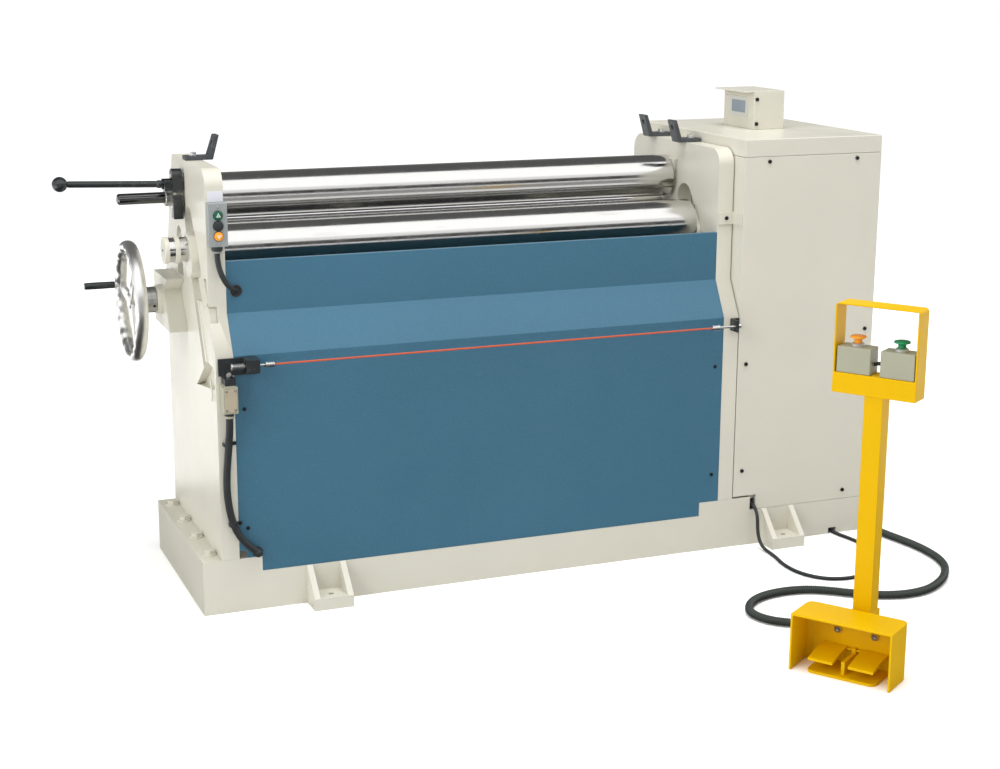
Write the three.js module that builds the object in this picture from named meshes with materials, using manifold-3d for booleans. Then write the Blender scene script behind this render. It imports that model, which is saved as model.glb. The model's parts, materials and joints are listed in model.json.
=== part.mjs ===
// Plate rolling machine with a separate pedal and button station. Millimetres, +Z up.
// Origin: middle of the plinth's underside, midway between the side frames. The rolls lie along X,
// the operator stands at -Y.

import * as THREE from 'three';
import { mergeVertices } from 'three/addons/utils/BufferGeometryUtils.js';
import Module from 'manifold-3d';

const wasm = await Module();
wasm.setup();

// Clearances shared by the whole machine
const seatGap = 0.3;
const runGap = 0.6;
const overrun = 6;

// Rolls: lengths along X, places as depth behind the front plane and height above the floor
const rollLength = 1250;
const rollDiameter = 110;
const rollEndGap = 12;
const journalDiameter = 58;
const lowerJournalDiameter = 46;
const journalShortfall = 4;
const topRoll = { depth: 328, height: 947 };
const topRollEnd = { collarDiameter: 43, collarLength: 18, rodDiameter: 27, rodLength: 113, chamfer: 4 };
const lowerRoll = { depth: 350, height: 831 };
const bendingRoll = { depth: 197, height: 841 };
const bendingRollEnd = { flangeRadius: 32, innerFlange: 18, flange: 11, outerFlange: 43, length: 54 };

// Side frames
const frameThickness = 42;
const frameTop = 1042;
const frameCorner = 40;
const frameBackCorner = 45;
const rightFrameDepth = 541;
const dropEnd = { topDepth: 405, shoulderDepth: 505, shoulderHeight: 800, backHeight: 740 };

// Front slope that the cover and both frames share
const slope = { depth: 51, low: 619, high: 710 };

// Plinth
const plinth = { depth: 530, height: 131, wall: 10, leftEar: 46, rightEar: 54, lip: 95, hatchInset: 40 };
const floorRail = { width: 60, thickness: 12 };
const foot = {
  width: 96, reach: 65, thickness: 29, web: 14, holeDiameter: 14, holeReach: 36, leftInset: 211,
  rightInset: 135,
};
const plinthBolt = { radius: 12, head: 9, washerRadius: 17, washer: 3, inset: 19, first: 56, pitch: 141 };

// Covers and cabinet
const sheet = 3;
const coverTop = 831;
const coverFlange = 14;
const coverNotch = { low: 55, lowHeight: 150, leftStep: 18, rightHeight: 131 };
const conduitHole = { inset: 22, below: 69, radius: 14 };
const rearCoverTop = 700;
const tieBar = { radius: 25, depth: 470, height: 640 };
const cabinet = { gap: 3, width: 402, depth: 570, top: 1024, slotWidth: 18, slotRise: 4, shaftHole: 60 };
const lid = { height: 45, skirt: 12 };
const displayBox = { left: 152, width: 91, front: 230, depth: 162, height: 101, hood: 30, wall: 4 };
const displayWindow = { width: 92, low: 34, height: 46 };
const tiePlate = { depth: 4, low: 851, height: 32, reach: 40 };

// Bearings and the moving blocks
const boss = { radius: 50, length: 19 };
const rightFlange = { thickness: 10, frontTop: 278, frontLow: 309, back: 380, low: 896, high: 994 };
const slot = { width: 80, lean: 35.68, up: 66.4, down: 62 };
const block = { above: 35, below: 31.5, flat: 20, chamferStart: 12, proud: 10, outer: 17 };
const guide = { half: 31, archHeight: 844, low: 755 };
const saddle = { recess: 6, low: 781, drop: 16 };
const screw = { radius: 9, length: 60 };
const channel = {
  depth: 20, topBack: [225, 766], topFront: [69, 790], lowFront: [12, 593], lowBack: [124, 569],
  tipBack: [207, 512], tipFront: [16, 540],
};
const link = {
  neckHalf: 25, neckEnd: 147, frontSlack: 12, backSlack: 19, thickness: 14, toe: 585, rib: 8,
  ribWidth: 12,
};

// Worm housing and handwheel
const housing = {
  thickness: 43, lowFront: 291, low: 623.5, waistDepth: 352, waist: 718, lipDepth: 312, top: 750,
  back: 470,
};
const wheelAxis = { depth: 385, height: 690 };
const wheelHub = {
  baseRadius: 37.5, baseLength: 8, neckRadius: 35, neckLength: 7, radius: 32, length: 38,
  shaft: 10, shaftInset: 15,
};
const wheel = { radius: 145, rim: 11, plane: 20, spokeWidth: 20, spokeThickness: 9, phase: 8 };
const grip = { radius: 9, length: 69, stem: 12, stemRadius: 5 };

// Drop end lock
const keeper = { front: 262, back: 290, low: 902, high: 959 };
const latch = {
  near: 5, far: 29, front: 262, back: 302, low: 966, pinDepth: 281, pinHeight: 1003, pinRadius: 6,
  pinProud: 3, crown: 18, swingGap: 1.2, relief: 293,
};
const fork = { reach: 18, half: 14, ear: 7, height: 984, pinRadius: 4, depth: 287 };
const lever = { radius: 8, length: 240, knuckle: 9, rise: 9, ball: 18 };

// Operator's push buttons on the left frame
const buttonBox = {
  left: 2, width: 43, low: 869, height: 99, depth: 23, glandRadius: 10, gland: 15, holeDepth: 17,
};
const boxButtons = [
  { name: 'up_button', height: 940.5, radius: 10.2 },
  { name: 'stop_button', height: 916.7, radius: 11.2 },
  { name: 'down_button', height: 893.4, radius: 10.2 },
];
const buttonProud = 6;
const buttonDepth = 10;

// Trip wire along the front and its switch
const trip = { reach: 30, height: 601, wireRadius: 2.2, rodRadius: 3, headRadius: 8.5, head: 3 };
const tripPlate = { left: 5, width: 88, drop: 25, height: 40, thickness: 5 };
const tripBlock = { width: 31, half: 16 };
const tripSpring = { length: 30, radius: 6.5, wire: 1.25, curls: 6 };
const clamp = { radius: 5.5, length: 22, leftFrom: 15, rightFrom: 51 };
const anchor = { width: 24, half: 15, ear: 5, tail: 9 };
const limitSwitch = {
  left: 7, width: 34, drop: 107, height: 63, depth: 40, head: 19, headWidth: 24, glandRadius: 11,
  gland: 14,
};
const plunger = { radius: 4, proud: 11, sunk: 12, roller: 4.7, rollerWidth: 5 };

// Work stops on top of the side frames
const workStop = {
  width: 36, base: 66, upright: 58, thickness: 10, lean: 16,
  boltRadius: 8, bolt: 7, holeRadius: 6, holeShare: 2 / 3, boltShare: 2 / 3,
};
const stopDepths = { left: 263, frontRight: 249, rearRight: 418 };

// Drive inside the cabinet
const sprocket = { inset: 36, width: 12, rollRadius: 75, motorRadius: 38, bore: 17 };
const chain = { thickness: 9 };
const gearbox = { inset: 78, width: 100, front: 240, depth: 176, height: 210, shaftHeight: 120 };
const motor = { radius: 85, length: 190 };

// Pedal and button station, built in its own frame and then turned
const station = { x: 498, depth: -843, turn: -55.5 };
const hood = { width: 232, depth: 99, height: 130, wall: 5, corner: 18 };
const postBase = { width: 50, depth: 60, height: 122 };
const post = { width: 42, depth: 86, top: 606 };
const head = { width: 188, depth: 53, front: 61, low: 606, high: 802, wall: 4, shelf: 650 };
const palmBox = { width: 76, depth: 45, height: 57, side: 3, inset: 3 };
const palmButton = {
  radius: 17.5, cap: 11, stemRadius: 9, stem: 14, collarRadius: 14, collar: 7, travelGap: 5.5,
};
const pedalBase = { width: 158, thickness: 6, front: 42, corner: 16, divider: 8, dividerRise: 29 };
const pedal = { inner: 18, width: 57, length: 80, thickness: 6, frontHeight: 34.5, backHeight: 46, hinge: 5 };

// Cable and hoses
const thinCable = { radius: 4.5, straight: 15 };
const hose = { radius: 10.5, straight: 12 };
const hoseGland = { radius: 14, length: 24, offset: -60, height: 16 };
const elbow = { radius: 15, depth: 118, height: 30, reach: 28, lead: 20 };
const cableClamp = {
  width: 18, depth: 20, height: 22, inset: 45, notch: 24, notchInset: 310, notchHeight: 16,
};
const boxConduit = { radius: 6.5 };
const switchConduit = { radius: 8.5 };

// Derived planes
const front = -plinth.depth / 2;
const frameInner = rollLength / 2 + rollEndGap;
const frameOuter = frameInner + frameThickness;
const plinthLeft = -frameOuter - plinth.leftEar;
const cabinetLeft = frameOuter + cabinet.gap;
const cabinetRight = cabinetLeft + cabinet.width;
const coverLow = frameInner - coverNotch.low;
const slotStart = frameOuter + plinth.rightEar;
const slotTurn = THREE.MathUtils.degToRad(slot.lean);
const slotDirection = new THREE.Vector2(Math.sin(slotTurn), Math.cos(slotTurn));

const holeHeight = coverTop - conduitHole.below;
const tripPlateLow = trip.height - tripPlate.drop;
const switchLow = trip.height - limitSwitch.drop;

const depthOf = (depth) => front + depth;

// Materials
function paint(color, roughness, metalness = 0) {
  return new THREE.MeshStandardMaterial({ color, roughness, metalness });
}

const finishes = {
  cream: paint(0xdedbcb, 0.5),
  blue: paint(0x48718a, 0.5),
  steel: paint(0xb8b8b4, 0.2, 1),
  chrome: paint(0xd8dadc, 0.1, 1),
  black: paint(0x2a2e30, 0.55),
  darkSteel: paint(0x4c5052, 0.45, 0.8),
  green: paint(0x14825a, 0.4),
  orange: paint(0xf0962a, 0.4),
  yellow: paint(0xf3c418, 0.4),
  grey: paint(0xa0a59f, 0.5),
  wire: paint(0xc85a28, 0.45),
  rubber: paint(0x202224, 0.7),
};

// Solids
function solidOf(geometry) {
  const bare = geometry.clone();
  for (const name of Object.keys(bare.attributes)) {
    if (name !== 'position') bare.deleteAttribute(name);
  }
  const merged = mergeVertices(bare);
  const index = merged.index.array;
  const triangles = [];
  for (let i = 0; i < index.length; i += 3) {
    const [a, b, c] = [index[i], index[i + 1], index[i + 2]];
    if (a !== b && b !== c && c !== a) triangles.push(a, b, c);
  }
  const vertProperties = new Float32Array(merged.attributes.position.array);
  return new wasm.Manifold(new wasm.Mesh({ numProp: 3, vertProperties, triVerts: new Uint32Array(triangles) }));
}

function geometryOf(solid) {
  const mesh = solid.getMesh();
  const geometry = new THREE.BufferGeometry();
  geometry.setAttribute('position', new THREE.BufferAttribute(new Float32Array(mesh.vertProperties), 3));
  geometry.setIndex(new THREE.BufferAttribute(new Uint32Array(mesh.triVerts), 1));
  geometry.computeVertexNormals();
  return geometry;
}

function joined(...solids) {
  return solids.reduce((whole, solid) => whole.add(solid));
}

function cut(solid, ...tools) {
  return tools.reduce((rest, tool) => rest.subtract(tool), solid);
}

function slab(x, y, z) {
  const geometry = new THREE.BoxGeometry(x[1] - x[0], y[1] - y[0], z[1] - z[0]);
  geometry.translate((x[0] + x[1]) / 2, (y[0] + y[1]) / 2, (z[0] + z[1]) / 2);
  return solidOf(geometry);
}

function outline(points) {
  return new THREE.Shape(points.map(([a, b]) => new THREE.Vector2(a, b)));
}

// Plates extruded square to X, Y or Z from an outline in the other two directions
const acrossX = new THREE.Matrix4().makeBasis(new THREE.Vector3(0, 1, 0), new THREE.Vector3(0, 0, 1), new THREE.Vector3(1, 0, 0));
const acrossY = new THREE.Matrix4().makeBasis(new THREE.Vector3(1, 0, 0), new THREE.Vector3(0, 0, 1), new THREE.Vector3(0, -1, 0));

function extruded(shape, depth, curveSegments = 8) {
  return new THREE.ExtrudeGeometry(shape, { depth, bevelEnabled: false, curveSegments });
}

function plateX(shape, x, curveSegments) {
  const geometry = extruded(shape, x[1] - x[0], curveSegments);
  geometry.applyMatrix4(acrossX);
  geometry.translate(x[0], 0, 0);
  return solidOf(geometry);
}

function plateY(shape, y, curveSegments) {
  const geometry = extruded(shape, y[1] - y[0], curveSegments);
  geometry.applyMatrix4(acrossY);
  geometry.translate(0, y[1], 0);
  return solidOf(geometry);
}

function plateZ(shape, z, curveSegments) {
  const geometry = extruded(shape, z[1] - z[0], curveSegments);
  geometry.translate(0, 0, z[0]);
  return solidOf(geometry);
}

function barX(x, y, z, radius, sides = 24) {
  const geometry = new THREE.CylinderGeometry(radius, radius, x[1] - x[0], sides);
  geometry.rotateZ(Math.PI / 2);
  geometry.translate((x[0] + x[1]) / 2, y, z);
  return solidOf(geometry);
}

function barY(x, y, z, radius, sides = 20) {
  const geometry = new THREE.CylinderGeometry(radius, radius, y[1] - y[0], sides);
  geometry.translate(x, (y[0] + y[1]) / 2, z);
  return solidOf(geometry);
}

function barZ(x, y, z, radius, sides = 20) {
  const geometry = new THREE.CylinderGeometry(radius, radius, z[1] - z[0], sides);
  geometry.rotateX(Math.PI / 2);
  geometry.translate(x, y, (z[0] + z[1]) / 2);
  return solidOf(geometry);
}

// A body turned about X through (y, z), from [x, radius] points that start and end on the axis
function turnedX(profile, y, z, sides = 28) {
  const geometry = new THREE.LatheGeometry(profile.map(([x, radius]) => new THREE.Vector2(radius, x)), sides);
  geometry.rotateZ(-Math.PI / 2);
  geometry.translate(0, y, z);
  return solidOf(geometry);
}

function tubeAlong(points, radius, steps, sides) {
  const section = new THREE.Shape();
  section.moveTo(radius, 0);
  for (let i = 1; i < sides; i += 1) {
    const angle = (i / sides) * 2 * Math.PI;
    section.lineTo(radius * Math.cos(angle), radius * Math.sin(angle));
  }
  section.closePath();
  const path = new THREE.CatmullRomCurve3(points.map(([x, y, z]) => new THREE.Vector3(x, y, z)), false, 'centripetal');
  return new THREE.ExtrudeGeometry(section, { steps, extrudePath: path, bevelEnabled: false });
}

function addMesh(parent, name, shape, material) {
  const geometry = shape.isBufferGeometry ? shape : geometryOf(shape);
  const mesh = new THREE.Mesh(geometry, material.clone());
  mesh.name = name;
  parent.add(mesh);
  return mesh;
}

const machine = new THREE.Group();

// Plinth: open below and under the rolls, with floor rails, welded feet and the frame's bolts
function footSolid(x, side) {
  const face = side < 0 ? front : -front;
  const span = [face, face + side * foot.reach].sort((a, b) => a - b);
  const half = foot.width / 2;
  const pad = slab([x - half, x + half], span, [0, foot.thickness]);
  const web = outline([
    [face - side * plinth.wall / 2, 0],
    [face - side * plinth.wall / 2, plinth.lip],
    [face, plinth.lip],
    [face + side * foot.reach, foot.thickness],
    [face + side * foot.reach, 0],
  ]);
  const webs = [-half, half - foot.web].map((start) => plateX(web, [x + start, x + start + foot.web]));
  const hole = barZ(x, face + side * foot.holeReach, [-overrun, foot.thickness + overrun], foot.holeDiameter / 2, 20);
  return cut(joined(pad, ...webs), hole);
}

// Two blocks that hold the thin cable: one behind the notch beside the cabinet, one on the right floor rail
const cableX = slotStart + cableClamp.width / 2;
const cableEndX = cabinetRight - floorRail.width - cableClamp.notch - cableClamp.width / 2;

function cableClampSolids() {
  const y = [depthOf(cableClamp.inset), depthOf(cableClamp.inset + cableClamp.depth)];
  const under = plinth.height - plinth.wall;
  return [
    slab([slotStart, slotStart + cableClamp.width], y, [under - cableClamp.height, under + overrun]),
    slab([cableEndX - cableClamp.width, cabinetRight - floorRail.width / 2], y, [0, cableClamp.height]),
  ];
}

function plinthSolid() {
  const [x0, x1] = [plinthLeft, cabinetRight];
  const shell = slab([x0, x1], [front, -front], [0, plinth.height]);
  const inside = slab(
    [x0 + plinth.wall, x1 - plinth.wall],
    [front + plinth.wall, -front - plinth.wall],
    [-overrun, plinth.height - plinth.wall],
  );
  const hatch = slab(
    [-coverLow + plinth.hatchInset, coverLow - plinth.hatchInset],
    [front + plinth.hatchInset, -front - plinth.hatchInset],
    [0, plinth.height + overrun],
  );
  const lipSpan = [front - overrun, front + sheet + seatGap];
  const lipHeight = [plinth.lip, plinth.height + overrun];
  const coverLip = slab([-coverLow - seatGap, coverLow + seatGap], lipSpan, lipHeight);
  const cabinetLip = slab([slotStart, x1 + overrun], lipSpan, lipHeight);
  const cableNotch = slab(
    [slotStart, slotStart + cabinet.slotWidth],
    [front - overrun, front + plinth.wall + overrun],
    lipHeight,
  );
  const rails = [x0, -floorRail.width / 2, x1 - floorRail.width].map((start) =>
    slab([start, start + floorRail.width], [front, -front], [0, floorRail.thickness]));
  const footX = [-frameInner + foot.leftInset, cabinetLeft + foot.rightInset];
  const feet = footX.flatMap((x) => [footSolid(x, -1), footSolid(x, 1)]);
  const bolts = [0, 1, 2, 3].flatMap((i) => {
    const place = [-frameOuter - plinthBolt.inset, depthOf(plinthBolt.first + i * plinthBolt.pitch)];
    const top = plinth.height + plinthBolt.washer;
    return [
      barZ(...place, [plinth.height - plinthBolt.washer, top], plinthBolt.washerRadius, 20),
      barZ(...place, [plinth.height, top + plinthBolt.head], plinthBolt.radius, 6),
    ];
  });
  const lowNotch = slab(
    [cableEndX - cableClamp.notch / 2, cableEndX + cableClamp.notch / 2],
    [front - overrun, front + plinth.wall + overrun],
    [-overrun, cableClamp.notchHeight],
  );
  const body = cut(shell, inside, hatch, coverLip, cabinetLip, cableNotch, lowNotch);
  return joined(body, ...rails, ...feet, ...bolts, ...cableClampSolids());
}

addMesh(machine, 'base_plinth', plinthSolid(), finishes.cream);

// Slanted slot that guides the bending roll, and the upright slot that guides the lower roll
function alongSlot(distance, offset = 0) {
  return [
    depthOf(bendingRoll.depth) + slotDirection.x * distance - slotDirection.y * offset,
    bendingRoll.height + slotDirection.y * distance + slotDirection.x * offset,
  ];
}

function slotTool(x) {
  const half = slot.width / 2;
  const shape = new THREE.Shape();
  shape.absarc(...alongSlot(slot.up), half, -slotTurn, Math.PI - slotTurn, false);
  shape.absarc(...alongSlot(-slot.down), half, Math.PI - slotTurn, 2 * Math.PI - slotTurn, false);
  shape.closePath();
  return plateX(shape, x, 12);
}

function guideTool(x) {
  const arch = new THREE.Shape();
  const middle = depthOf(lowerRoll.depth);
  arch.moveTo(middle - guide.half, guide.low);
  arch.lineTo(middle + guide.half, guide.low);
  arch.lineTo(middle + guide.half, guide.archHeight);
  arch.absarc(middle, guide.archHeight, guide.half, 0, Math.PI, false);
  arch.closePath();
  const screwBore = barZ(
    (x[0] + x[1]) / 2, middle,
    [saddle.low - saddle.drop - screw.length - overrun, guide.low + overrun], screw.radius + runGap,
  );
  return joined(plateX(arch, x, 10), screwBore);
}

function frameSolid(side) {
  const x = side < 0 ? [-frameOuter, -frameInner] : [frameInner, frameOuter];
  const cutX = [x[0] - overrun, x[1] + overrun];
  const shape = new THREE.Shape();
  const bottom = plinth.height + seatGap;
  shape.moveTo(front, bottom);
  if (side < 0) {
    shape.lineTo(-front, bottom);
    shape.lineTo(-front, dropEnd.backHeight);
    shape.lineTo(depthOf(dropEnd.shoulderDepth), dropEnd.shoulderHeight);
    shape.lineTo(depthOf(dropEnd.topDepth), frameTop);
  } else {
    const back = depthOf(rightFrameDepth);
    shape.lineTo(back, bottom);
    shape.lineTo(back, frameTop - frameBackCorner);
    shape.absarc(back - frameBackCorner, frameTop - frameBackCorner, frameBackCorner, 0, Math.PI / 2, false);
  }
  const face = depthOf(slope.depth);
  shape.lineTo(face + frameCorner, frameTop);
  shape.absarc(face + frameCorner, frameTop - frameCorner, frameCorner, Math.PI / 2, Math.PI, false);
  shape.lineTo(face, slope.high);
  shape.lineTo(front, slope.low);
  shape.closePath();
  const bore = barX(cutX, depthOf(topRoll.depth), topRoll.height, journalDiameter / 2 + runGap);
  return cut(plateX(shape, x, 10), bore, slotTool(cutX), guideTool(cutX));
}

const latchX = [-frameOuter - latch.far, -frameOuter - latch.near];
const inDepth = ([depth, height]) => [depthOf(depth), height];

function leftFrameSolid() {
  const run = plateX(
    outline([channel.topFront, channel.topBack, channel.lowBack, channel.lowFront].map(inDepth)),
    [-frameOuter - overrun, -frameOuter + channel.depth],
  );
  const mouth = plateX(
    outline([channel.lowFront, channel.lowBack, channel.tipBack, channel.tipFront].map(inDepth)),
    [-frameOuter - overrun, -frameOuter + channel.depth],
  );
  const pin = barX(
    [latchX[0] - latch.pinProud, -frameInner - frameThickness / 2],
    depthOf(latch.pinDepth), latch.pinHeight, latch.pinRadius, 16,
  );
  return joined(cut(frameSolid(-1), run, mouth), pin);
}

addMesh(machine, 'left_side_frame', leftFrameSolid(), finishes.cream);
addMesh(machine, 'right_side_frame', frameSolid(1), finishes.cream);

// Folded front cover between the frames, with notched corners and a hole for the button conduit
function frontCoverSolid() {
  const inner = slope.depth - sheet;
  const rise = Math.hypot(slope.depth, slope.high - slope.low);
  const bend = sheet * slope.depth / (rise + slope.high - slope.low);
  const profile = outline([
    [front, plinth.lip + seatGap],
    [front, slope.low],
    [depthOf(slope.depth), slope.high],
    [depthOf(slope.depth), coverTop],
    [depthOf(slope.depth + coverFlange), coverTop],
    [depthOf(slope.depth + coverFlange), coverTop - sheet],
    [depthOf(slope.depth + sheet), coverTop - sheet],
    [depthOf(inner + 2 * sheet), slope.high - bend],
    [depthOf(sheet), slope.low - bend],
    [depthOf(sheet), plinth.lip + seatGap],
  ]);
  const half = frameInner - seatGap;
  const sheetSolid = plateX(profile, [-half, half]);
  const through = [front - overrun, depthOf(slope.depth)];
  const tools = [
    slab([-half - overrun, -coverLow], through, [0, plinth.height + seatGap]),
    slab([-half - overrun, -half + coverNotch.leftStep], through, [0, coverNotch.lowHeight]),
    slab([coverLow, half + overrun], through, [0, coverNotch.rightHeight + seatGap]),
    barY(-frameInner + conduitHole.inset, [front, depthOf(slope.depth + coverFlange)], holeHeight, conduitHole.radius),
  ];
  return cut(sheetSolid, ...tools);
}

addMesh(machine, 'front_cover', frontCoverSolid(), finishes.blue);

const rearX = [-frameInner + seatGap, frameInner - seatGap];
addMesh(
  machine,
  'rear_cover',
  slab(rearX, [-front - sheet, -front], [plinth.height + seatGap, rearCoverTop]),
  finishes.cream,
);
addMesh(
  machine,
  'tie_bar',
  barX(rearX, depthOf(tieBar.depth), tieBar.height, tieBar.radius),
  finishes.darkSteel,
);

// Drive cabinet: four sheet walls, open above and below, with the shaft hole in its left wall
function cabinetSolid() {
  const y = [front, depthOf(cabinet.depth)];
  const outer = slab([cabinetLeft, cabinetRight], y, [plinth.lip + seatGap, cabinet.top]);
  const inner = slab(
    [cabinetLeft + sheet, cabinetRight - sheet],
    [y[0] + sheet, y[1] - sheet],
    [0, cabinet.top + overrun],
  );
  const belowWalls = slab(
    [cabinetLeft - overrun, cabinetRight + overrun],
    [front + sheet, y[1] + overrun],
    [0, plinth.height + seatGap],
  );
  const belowFront = slab(
    [cabinetLeft - overrun, slotStart + cabinet.slotWidth],
    [front - overrun, front + 2 * sheet],
    [0, plinth.height + cabinet.slotRise],
  );
  const shaft = barX(
    [cabinetLeft - overrun, cabinetLeft + sheet + overrun],
    depthOf(topRoll.depth), topRoll.height, cabinet.shaftHole,
  );
  return cut(outer, inner, belowWalls, belowFront, shaft);
}

addMesh(machine, 'drive_cabinet', cabinetSolid(), finishes.cream);

function lidSolid() {
  const y = [front, depthOf(cabinet.depth)];
  const top = cabinet.top + lid.height;
  const outer = slab([cabinetLeft, cabinetRight], y, [cabinet.top + seatGap, top]);
  const inner = slab(
    [cabinetLeft + lid.skirt, cabinetRight - lid.skirt],
    [y[0] + lid.skirt, y[1] - lid.skirt],
    [cabinet.top, top - sheet],
  );
  return cut(outer, inner);
}

addMesh(machine, 'cabinet_lid', lidSolid(), finishes.cream);

// Position display on the lid, its screen side under a small hood
function displaySolid() {
  const x = [cabinetLeft + displayBox.left, cabinetLeft + displayBox.left + displayBox.width];
  const y = [depthOf(displayBox.front), depthOf(displayBox.front + displayBox.depth)];
  const base = cabinet.top + lid.height + seatGap;
  const body = slab(x, y, [base, base + displayBox.height]);
  const hollow = slab(
    [x[0] + displayBox.wall, x[1] - displayBox.wall],
    [y[0] + displayBox.wall, y[1] - displayBox.wall],
    [base - overrun, base + displayBox.height - displayBox.wall],
  );
  const middle = (y[0] + y[1]) / 2;
  const screen = slab(
    [x[0] - overrun, x[0] + displayBox.wall / 2],
    [middle - displayWindow.width / 2, middle + displayWindow.width / 2],
    [base + displayWindow.low, base + displayWindow.low + displayWindow.height],
  );
  const top = base + displayBox.height;
  const visor = slab([x[0] - displayBox.hood, x[1]], y, [top - displayBox.wall, top]);
  return joined(cut(body, hollow, screen), visor);
}

addMesh(machine, 'display_box', displaySolid(), finishes.cream);

addMesh(
  machine,
  'tie_plate',
  slab(
    [frameOuter - tiePlate.reach, cabinetLeft - seatGap],
    [depthOf(slope.depth - tiePlate.depth) - seatGap, depthOf(slope.depth) - seatGap],
    [tiePlate.low, tiePlate.low + tiePlate.height],
  ),
  finishes.cream,
);

// Bearings of the top roll
const topBore = journalDiameter / 2 + runGap;
addMesh(
  machine,
  'top_bearing_left',
  cut(
    barX([-frameOuter - boss.length, -frameOuter - seatGap], depthOf(topRoll.depth), topRoll.height, boss.radius),
    barX([-frameOuter - boss.length - overrun, -frameOuter + overrun], depthOf(topRoll.depth), topRoll.height, topBore),
  ),
  finishes.cream,
);
addMesh(
  machine,
  'top_bearing_right',
  cut(
    plateX(outline([
      [depthOf(rightFlange.frontTop), rightFlange.high],
      [depthOf(rightFlange.frontLow), rightFlange.low],
      [depthOf(rightFlange.back), rightFlange.low],
      [depthOf(rightFlange.back), rightFlange.high],
    ].reverse()), [frameInner - seatGap - rightFlange.thickness, frameInner - seatGap]),
    barX([frameInner - overrun - rightFlange.thickness, frameInner + overrun], depthOf(topRoll.depth), topRoll.height, topBore),
  ),
  finishes.cream,
);

// Rolls with their journals
function rollSolid(place, journal, leftReach, rightReach) {
  const half = rollLength / 2;
  return turnedX([
    [-leftReach, 0], [-leftReach, journal / 2], [-half, journal / 2], [-half, rollDiameter / 2],
    [half, rollDiameter / 2], [half, journal / 2], [rightReach, journal / 2], [rightReach, 0],
  ], depthOf(place.depth), place.height);
}

function topRollSolid() {
  const half = rollLength / 2;
  const journal = journalDiameter / 2;
  const collarStart = -frameOuter - boss.length;
  const rodStart = collarStart - topRollEnd.collarLength;
  const rodEnd = rodStart - topRollEnd.rodLength;
  const rod = topRollEnd.rodDiameter / 2;
  const collar = topRollEnd.collarDiameter / 2;
  const drive = cabinetLeft + sprocket.inset + sprocket.width + runGap;
  return turnedX([
    [rodEnd, 0], [rodEnd, rod - topRollEnd.chamfer], [rodEnd + topRollEnd.chamfer, rod], [rodStart, rod],
    [rodStart, collar], [collarStart, collar], [collarStart, journal], [-half, journal],
    [-half, rollDiameter / 2], [half, rollDiameter / 2], [half, journal],
    [cabinetLeft + sprocket.inset - runGap, journal], [cabinetLeft + sprocket.inset - runGap, sprocket.bore],
    [drive, sprocket.bore], [drive, 0],
  ], depthOf(topRoll.depth), topRoll.height);
}

// The bending roll's left journal stands out of its block, with two flanges on it
function bendingRollSolid() {
  const half = rollLength / 2;
  const journal = journalDiameter / 2;
  const face = -frameOuter - block.outer;
  const flange = (from) => [face - from - bendingRollEnd.flange, face - from];
  const [inner, outer] = [flange(bendingRollEnd.innerFlange), flange(bendingRollEnd.outerFlange)];
  const big = bendingRollEnd.flangeRadius;
  return turnedX([
    [face - bendingRollEnd.length, 0], [face - bendingRollEnd.length, big], [outer[1], big], [outer[1], journal],
    [inner[0], journal], [inner[0], big], [inner[1], big], [inner[1], journal], [-half, journal],
    [-half, rollDiameter / 2], [half, rollDiameter / 2], [half, journal], [blindJournal, journal], [blindJournal, 0],
  ], depthOf(bendingRoll.depth), bendingRoll.height);
}

const blindJournal = frameOuter - journalShortfall;
addMesh(machine, 'top_roll', topRollSolid(), finishes.steel);
addMesh(
  machine,
  'lower_roll',
  rollSolid(lowerRoll, lowerJournalDiameter, frameOuter - saddle.recess - runGap, frameOuter - saddle.recess - runGap),
  finishes.steel,
);
addMesh(machine, 'bending_roll', bendingRollSolid(), finishes.steel);

// Sliding blocks of the bending roll and saddles of the lower roll
function blockOutline(grown) {
  const half = slot.width / 2 - seatGap + grown;
  const shape = new THREE.Shape();
  shape.absarc(...alongSlot(-block.below), half, Math.PI - slotTurn, 2 * Math.PI - slotTurn, false);
  shape.lineTo(...alongSlot(block.chamferStart, -half));
  shape.lineTo(...alongSlot(block.above, -block.flat));
  shape.lineTo(...alongSlot(block.above, block.flat));
  shape.lineTo(...alongSlot(block.chamferStart, half));
  shape.closePath();
  return shape;
}

function bendingBlockSolid(side) {
  const x = side < 0
    ? [-frameOuter - block.outer, -frameInner + block.proud]
    : [frameInner - block.proud, frameOuter];
  const bore = barX(
    side < 0 ? [x[0] - overrun, x[1] + overrun] : [x[0] - overrun, blindJournal + runGap],
    depthOf(bendingRoll.depth), bendingRoll.height, journalDiameter / 2 + runGap,
  );
  return cut(plateX(blockOutline(0), x), bore);
}

function saddleSolid(side) {
  const inner = frameInner + saddle.recess;
  const outer = frameOuter - saddle.recess;
  const x = side < 0 ? [-outer, -inner] : [inner, outer];
  const half = guide.half - seatGap;
  const middle = depthOf(lowerRoll.depth);
  const shape = new THREE.Shape();
  shape.moveTo(middle - half, saddle.low);
  shape.lineTo(middle + half, saddle.low);
  shape.absarc(middle, lowerRoll.height, half, 0, Math.PI, false);
  shape.closePath();
  const bore = barX([x[0] - overrun, x[1] + overrun], middle, lowerRoll.height, lowerJournalDiameter / 2 + runGap);
  return cut(plateX(shape, x, 10), bore);
}

addMesh(machine, 'bending_block_left', bendingBlockSolid(-1), finishes.cream);
addMesh(machine, 'bending_block_right', bendingBlockSolid(1), finishes.cream);
addMesh(machine, 'lower_bearing_left', saddleSolid(-1), finishes.darkSteel);
addMesh(machine, 'lower_bearing_right', saddleSolid(1), finishes.darkSteel);

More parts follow.
